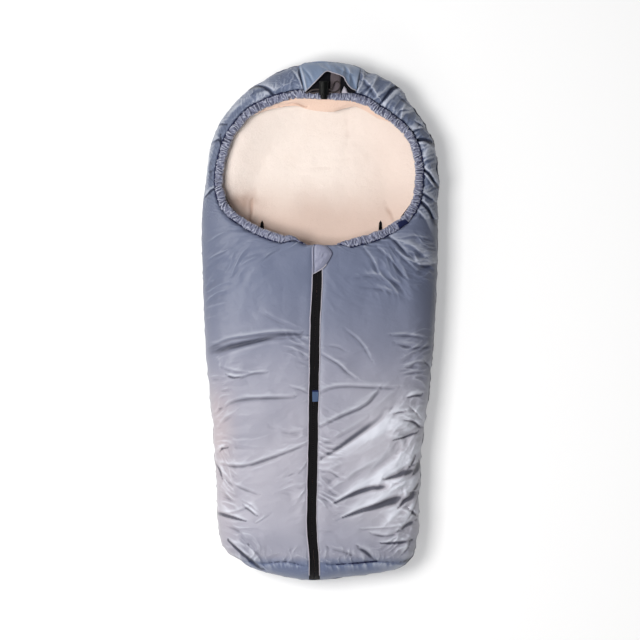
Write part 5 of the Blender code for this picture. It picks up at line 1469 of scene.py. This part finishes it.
def band_surface(x, y):
    """Top of the gathered band round the tab sewn on it."""
    return front_top(x, y) - 0.0018


patch("blank_tab", [(-0.0118, -0.1240), (-0.0020, -0.1238), (-0.0018, -0.1085), (-0.0117, -0.1083)],
      0.0002, TABBLUE, "right_front", "blue_tab", ("zip_tab",))
patch("blank_tab_edge", [(-0.0119, -0.1087), (-0.0017, -0.1088), (-0.0017, -0.1062), (-0.0119, -0.1062)],
      0.0006, NAVY, "right_front", "navy_tab")
patch("band_side_tab", [(0.1155, 0.1490), (0.1215, 0.1415), (0.1362, 0.1500), (0.1325, 0.1580)],
      0.0022, NAVY, "right_front", "navy_tab", ("band_tab",), base=band_surface, crown=0.0014)


# Garage petal over the slider
def petal_points():
    left = spline([(-0.0095, 0.1170), (-0.0126, 0.1120), (-0.0128, 0.0950), (-0.0120, 0.0722)], 10)
    right = spline([(0.0010, 0.1168), (0.0090, 0.1150), (0.0148, 0.1103), (0.0183, 0.1024), (0.0134, 0.0916),
                    (0.0075, 0.0837), (0.0031, 0.0798), (-0.0116, 0.0714)], 8)
    s = np.linspace(0, 1, 60)
    u = np.linspace(0, 1, 46)
    a, b = along(left, s), along(right, s)
    x, y = between(a, b, u)
    d = np.linalg.norm(b - a, axis=1)[:, None] * u[None, :]
    across = np.sin(np.pi * np.clip(u, 0.02, 0.98))[None, :] ** 0.55
    dome = across * np.sin(np.pi * np.clip(0.15 + 0.85 * s, 0, 1))[:, None] ** 0.6
    z = front_z(0 * x, np.minimum(y, CHIN_Y)) + 0.0010 + 0.0048 * dome
    z = z + 0.0016 * np.exp(-((d - 0.0016) / 0.0008) ** 2) - 0.0020 * np.exp(-((d - 0.0034) / 0.0007) ** 2)
    z = z - 0.0022 * smooth(0.35, 0.0, s)[:, None] * smooth(0.85, 1, u)[None, :]
    z = z + crumple(x, y, 60, 0.007, 2.0, 80.0) * 0.0007 * dome
    return np.stack([x, y, z], -1)


petal_grid = petal_points()
# Its fold marks give painted shade in valleys and painted highlights on ridges
petal = grid_piece("garage_petal", petal_grid, marks=folds(petal_grid))
face_up(petal)
wear(petal, PETAL, "garage_flap", ("zip_garage",))
hem = petal_grid[:, -1] + (0, 0, 0.0002)
wear(tube_piece("garage_piping", hem[36:], 0.0008), PIPING, "garage_flap")
# A dark line along the petal's right edge: painted shadow under the edge
wear(tube_piece("garage_edge_shade", hem[8:38] - (0, 0, 0.0006), 0.0008), PETAL_EDGE_SHADE_CLOTH, "garage_flap")


# Flap over the cord lock
FLAP_CREASES = [
    ([(300, 67), (303, 78), (306, 92)], 2.5, 2.2, 1.4),
    ([(305, 70), (310, 76), (314, 84)], 3, 1.0, 1.4),
    ([(318, 64), (322, 68), (330, 72)], 4, 1.2, 1.0),
    ([(345, 66), (352, 76), (356, 88)], 4, 1.4, 1.0),
    ([(335, 64), (342, 70), (350, 74)], 4, 1.2, 1.2),
]


def flap_points():
    top = spline([(-0.0322, 0.3915), (-0.0250, 0.3965), (-0.0030, 0.4000), (0.0200, 0.3990), (0.0480, 0.3955),
                  (0.0618, 0.3885)], 10)
    bottom = spline([(-0.0236, 0.3515), (-0.0190, 0.3550), (-0.0080, 0.3660), (0.0030, 0.3775),
                     (0.0100, 0.3832), (0.0180, 0.3815), (0.0350, 0.3752), (0.0415, 0.3645),
                     (0.0480, 0.3570), (0.0560, 0.3535)], 8)
    s = np.linspace(0, 1, 110)
    v = np.linspace(0, 1, 40)
    x, y = between(along(top, s), along(bottom, s), v)
    z = front_z(x, np.minimum(y, 0.3985)) + 0.0022
    up = np.sin(np.pi * np.clip(s, 0, 1))[:, None] ** 0.7
    z = z + 0.0105 * v[None, :] * up + 0.0030 * np.exp(-((s[:, None] - 0.03) / 0.03) ** 2) * v[None, :]
    z = z + crumple(x, y, 112, 0.020, 2.6, 90.0) * 0.0020 * np.sin(np.pi * v)[None, :]
    z = z + relief(x, y, FLAP_CREASES)
    return np.stack([x, y, z], -1)


flap_grid = flap_points()
# Its fold and crease marks give painted shade in valleys and painted highlights on ridges
flap = grid_piece("toggle_flap_cloth", flap_grid, marks=shading(flap_grid, (FLAP_CREASES, 0.8)))
face_up(flap)
wear(flap, FLAP, "lock_flap", ("toggle_flap",))
hem = flap_grid[:, -1] + (0, 0.0002, 0.0002)
wear(tube_piece("toggle_flap_piping", hem, 0.0007), PIPING, "lock_flap")
# A near-black cloth under the flap: painted shade in the hollow that the flap shades
patch("lock_shade_sheet", [(-0.0240, 0.3500), (0.0540, 0.3500), (0.0480, 0.3850), (-0.0180, 0.3850)],
      0.0016, FLAP_SHADE_CLOTH, "sack_back", "shell_cloth", rows=24, cols=30)
patch("lock_strap", [(0.0150, 0.3500), (0.0310, 0.3490), (0.0320, 0.3820), (0.0165, 0.3820)],
      0.0030, WEBBING, "sack_back", "binding", rows=20, cols=10, crown=0.0010)
patch("lock_lining", [(0.0325, 0.3495), (0.0425, 0.3495), (0.0405, 0.3565), (0.0370, 0.3605)],
      0.0040, PIPING, "sack_back", "fleece", rows=14, cols=14, crown=0.0016)


# Fleece facing under the hood's rim
FACING_EDGE = [
    (240, 126), (246, 120), (254, 116), (263, 112.5), (273, 109.5), (283, 107.5), (291, 106.5),
    (299, 107), (306, 109.5), (316, 111.5), (326, 112.5), (334, 112.3), (342, 110), (349, 107.5),
    (357, 108), (366, 112), (378, 119),
]
# Creases of the facing; their valleys also carry painted shade
FACING_CREASES = [
    ([(280, 106), (288, 104), (297, 103), (306, 106)], 3, 0.5, 4.0),
    ([(340, 108), (350, 105), (362, 108)], 3, 0.4, 1.2),
]


def facing_points(n=160):
    outer = along(offset(rim, 0.0020), np.linspace(0.385, 0.66, n))
    inner = along(spline([plan_place(*at) for at in FACING_EDGE], 8), np.linspace(0, 1, n))
    v = np.linspace(0, 1, 22)
    x, y = between(outer, inner, v)
    top = band_seat(outer)[:, None]
    z = top - 0.0020 - 0.010 * v[None, :] ** 0.8 + 0.0012 * np.sin(np.arange(n) / 7.0)[:, None] * v[None, :]
    return np.stack([x, y, z + relief(x, y, FACING_CREASES)], -1)


facing_grid = facing_points()
# The facing's fold marks give painted shade, brown under its fold
facing = grid_piece("hood_facing", facing_grid, marks=folds(facing_grid))
face_up(facing)
wear(facing, FACING, "sack_back")

# Kept nodes
KEPT = {
    "zip_teeth_left": COIL,
    "zip_teeth_right": COIL,
    "zip_slider": METAL,
    "zip_pull": PLASTIC,
    "cord_lock": PLASTIC,
    "lock_button": PLASTIC,
    "lock_spring": STEEL,
}
for node, look in KEPT.items():
    NODES[node].data.materials.clear()
    NODES[node].data.materials.append(look)


# Stage
CAMERA_HEIGHT = 8.0
FOCUS_HEIGHT = 0.05
SENSOR_MM = 36
FLOOR_TONE = (0.95, 0.95, 0.95)
FLOOR_TINT = (0.94, 0.94, 0.945)
FLOOR_GLOW = 0.37
ROOM_LIGHT = 0.43
ROOM_PALE = (1.0, 1.0, 1.0, 1)
ROOM_DARK = (0.14, 0.16, 0.20, 1)
AIM = (0, 0, 0.05)


def make_camera():
    lens = bpy.data.cameras.new("camera")
    lens.sensor_width = SENSOR_MM
    lens.lens = SENSOR_MM * (CAMERA_HEIGHT - FOCUS_HEIGHT) / (PICTURE_PX * PX)
    lens.clip_end = 100
    camera = linked("camera", lens)
    camera.location = (0.0, (ORIGIN_Y_PX - PICTURE_PX / 2) * PX, CAMERA_HEIGHT)
    bpy.context.scene.camera = camera


def make_floor():
    """A pale floor that the camera sees a little brighter than its light makes it."""
    bm = bmesh.new()
    bmesh.ops.create_grid(bm, x_segments=1, y_segments=1, size=6.0)
    floor = finish_piece("floor", bm)
    look = Look("floor", FLOOR_TONE, 0.9, Specular_IOR_Level=0.1)
    look.paint(look.blend(look.noise(3.0) * 0.1, FLOOR_TONE, FLOOR_TINT))
    share = add_node(look.tree, "LightPath", output="Is Camera Ray") * FLOOR_GLOW
    cloth = Value(look.tree, look.shader.outputs[0])
    mix = add_node(look.tree, "MixShader", sockets={0: share, 1: cloth, 2: add_node(look.tree, "Emission")})
    look.tree.links.new(mix.socket, look.tree.nodes["Material Output"].inputs["Surface"])
    floor.data.materials.append(look.mat)


def make_room():
    """White where the camera looks past the floor, and a soft light that comes from the left."""
    world = bpy.data.worlds.new("room")
    bpy.context.scene.world = world
    world.use_nodes = True
    tree = world.node_tree
    tree.nodes.clear()
    toward = add_node(tree, "TexCoord", output="Generated")
    side = add_node(tree, "SeparateXYZ", sockets={0: toward}).step(-0.9, 0.8)
    ramp = add_node(tree, "Mix", {"data_type": "RGBA"}, {0: side, 6: ROOM_PALE, 7: ROOM_DARK}, output=2)
    lit = add_node(tree, "Background", sockets={0: ramp, 1: ROOM_LIGHT})
    seen = add_node(tree, "Background", sockets={0: (1, 1, 1, 1)})
    ray = add_node(tree, "LightPath", output="Is Camera Ray")
    add_node(tree, "OutputWorld", sockets={0: add_node(tree, "MixShader", sockets={0: ray, 1: lit, 2: seen})})


def make_lamp(name, at, to, size, power, color):
    light = bpy.data.lights.new(name, "AREA")
    light.shape = "RECTANGLE"
    light.size, light.size_y = size
    light.energy = power
    light.color = color
    lamp = linked(name, light)
    lamp.location = at
    lamp.rotation_euler = (Vector(to) - Vector(at)).to_track_quat("-Z", "Y").to_euler()
    return lamp


make_camera()
make_floor()
make_room()
make_lamp("key", (-0.85, 0.02, 2.4), AIM, (0.9, 0.9), 64, (1.0, 0.99, 0.975)).visible_glossy = False
make_lamp("side", (-1.6, 0.25, 1.85), AIM, (0.6, 0.6), 26, (1.0, 0.985, 0.96)).visible_diffuse = False
make_lamp("fill", (-0.4, -1.9, 1.7), (0, -0.2, 0.05), (1.2, 0.6), 7, (1.0, 0.97, 0.95))
bpy.context.scene.view_settings.view_transform = "Standard"
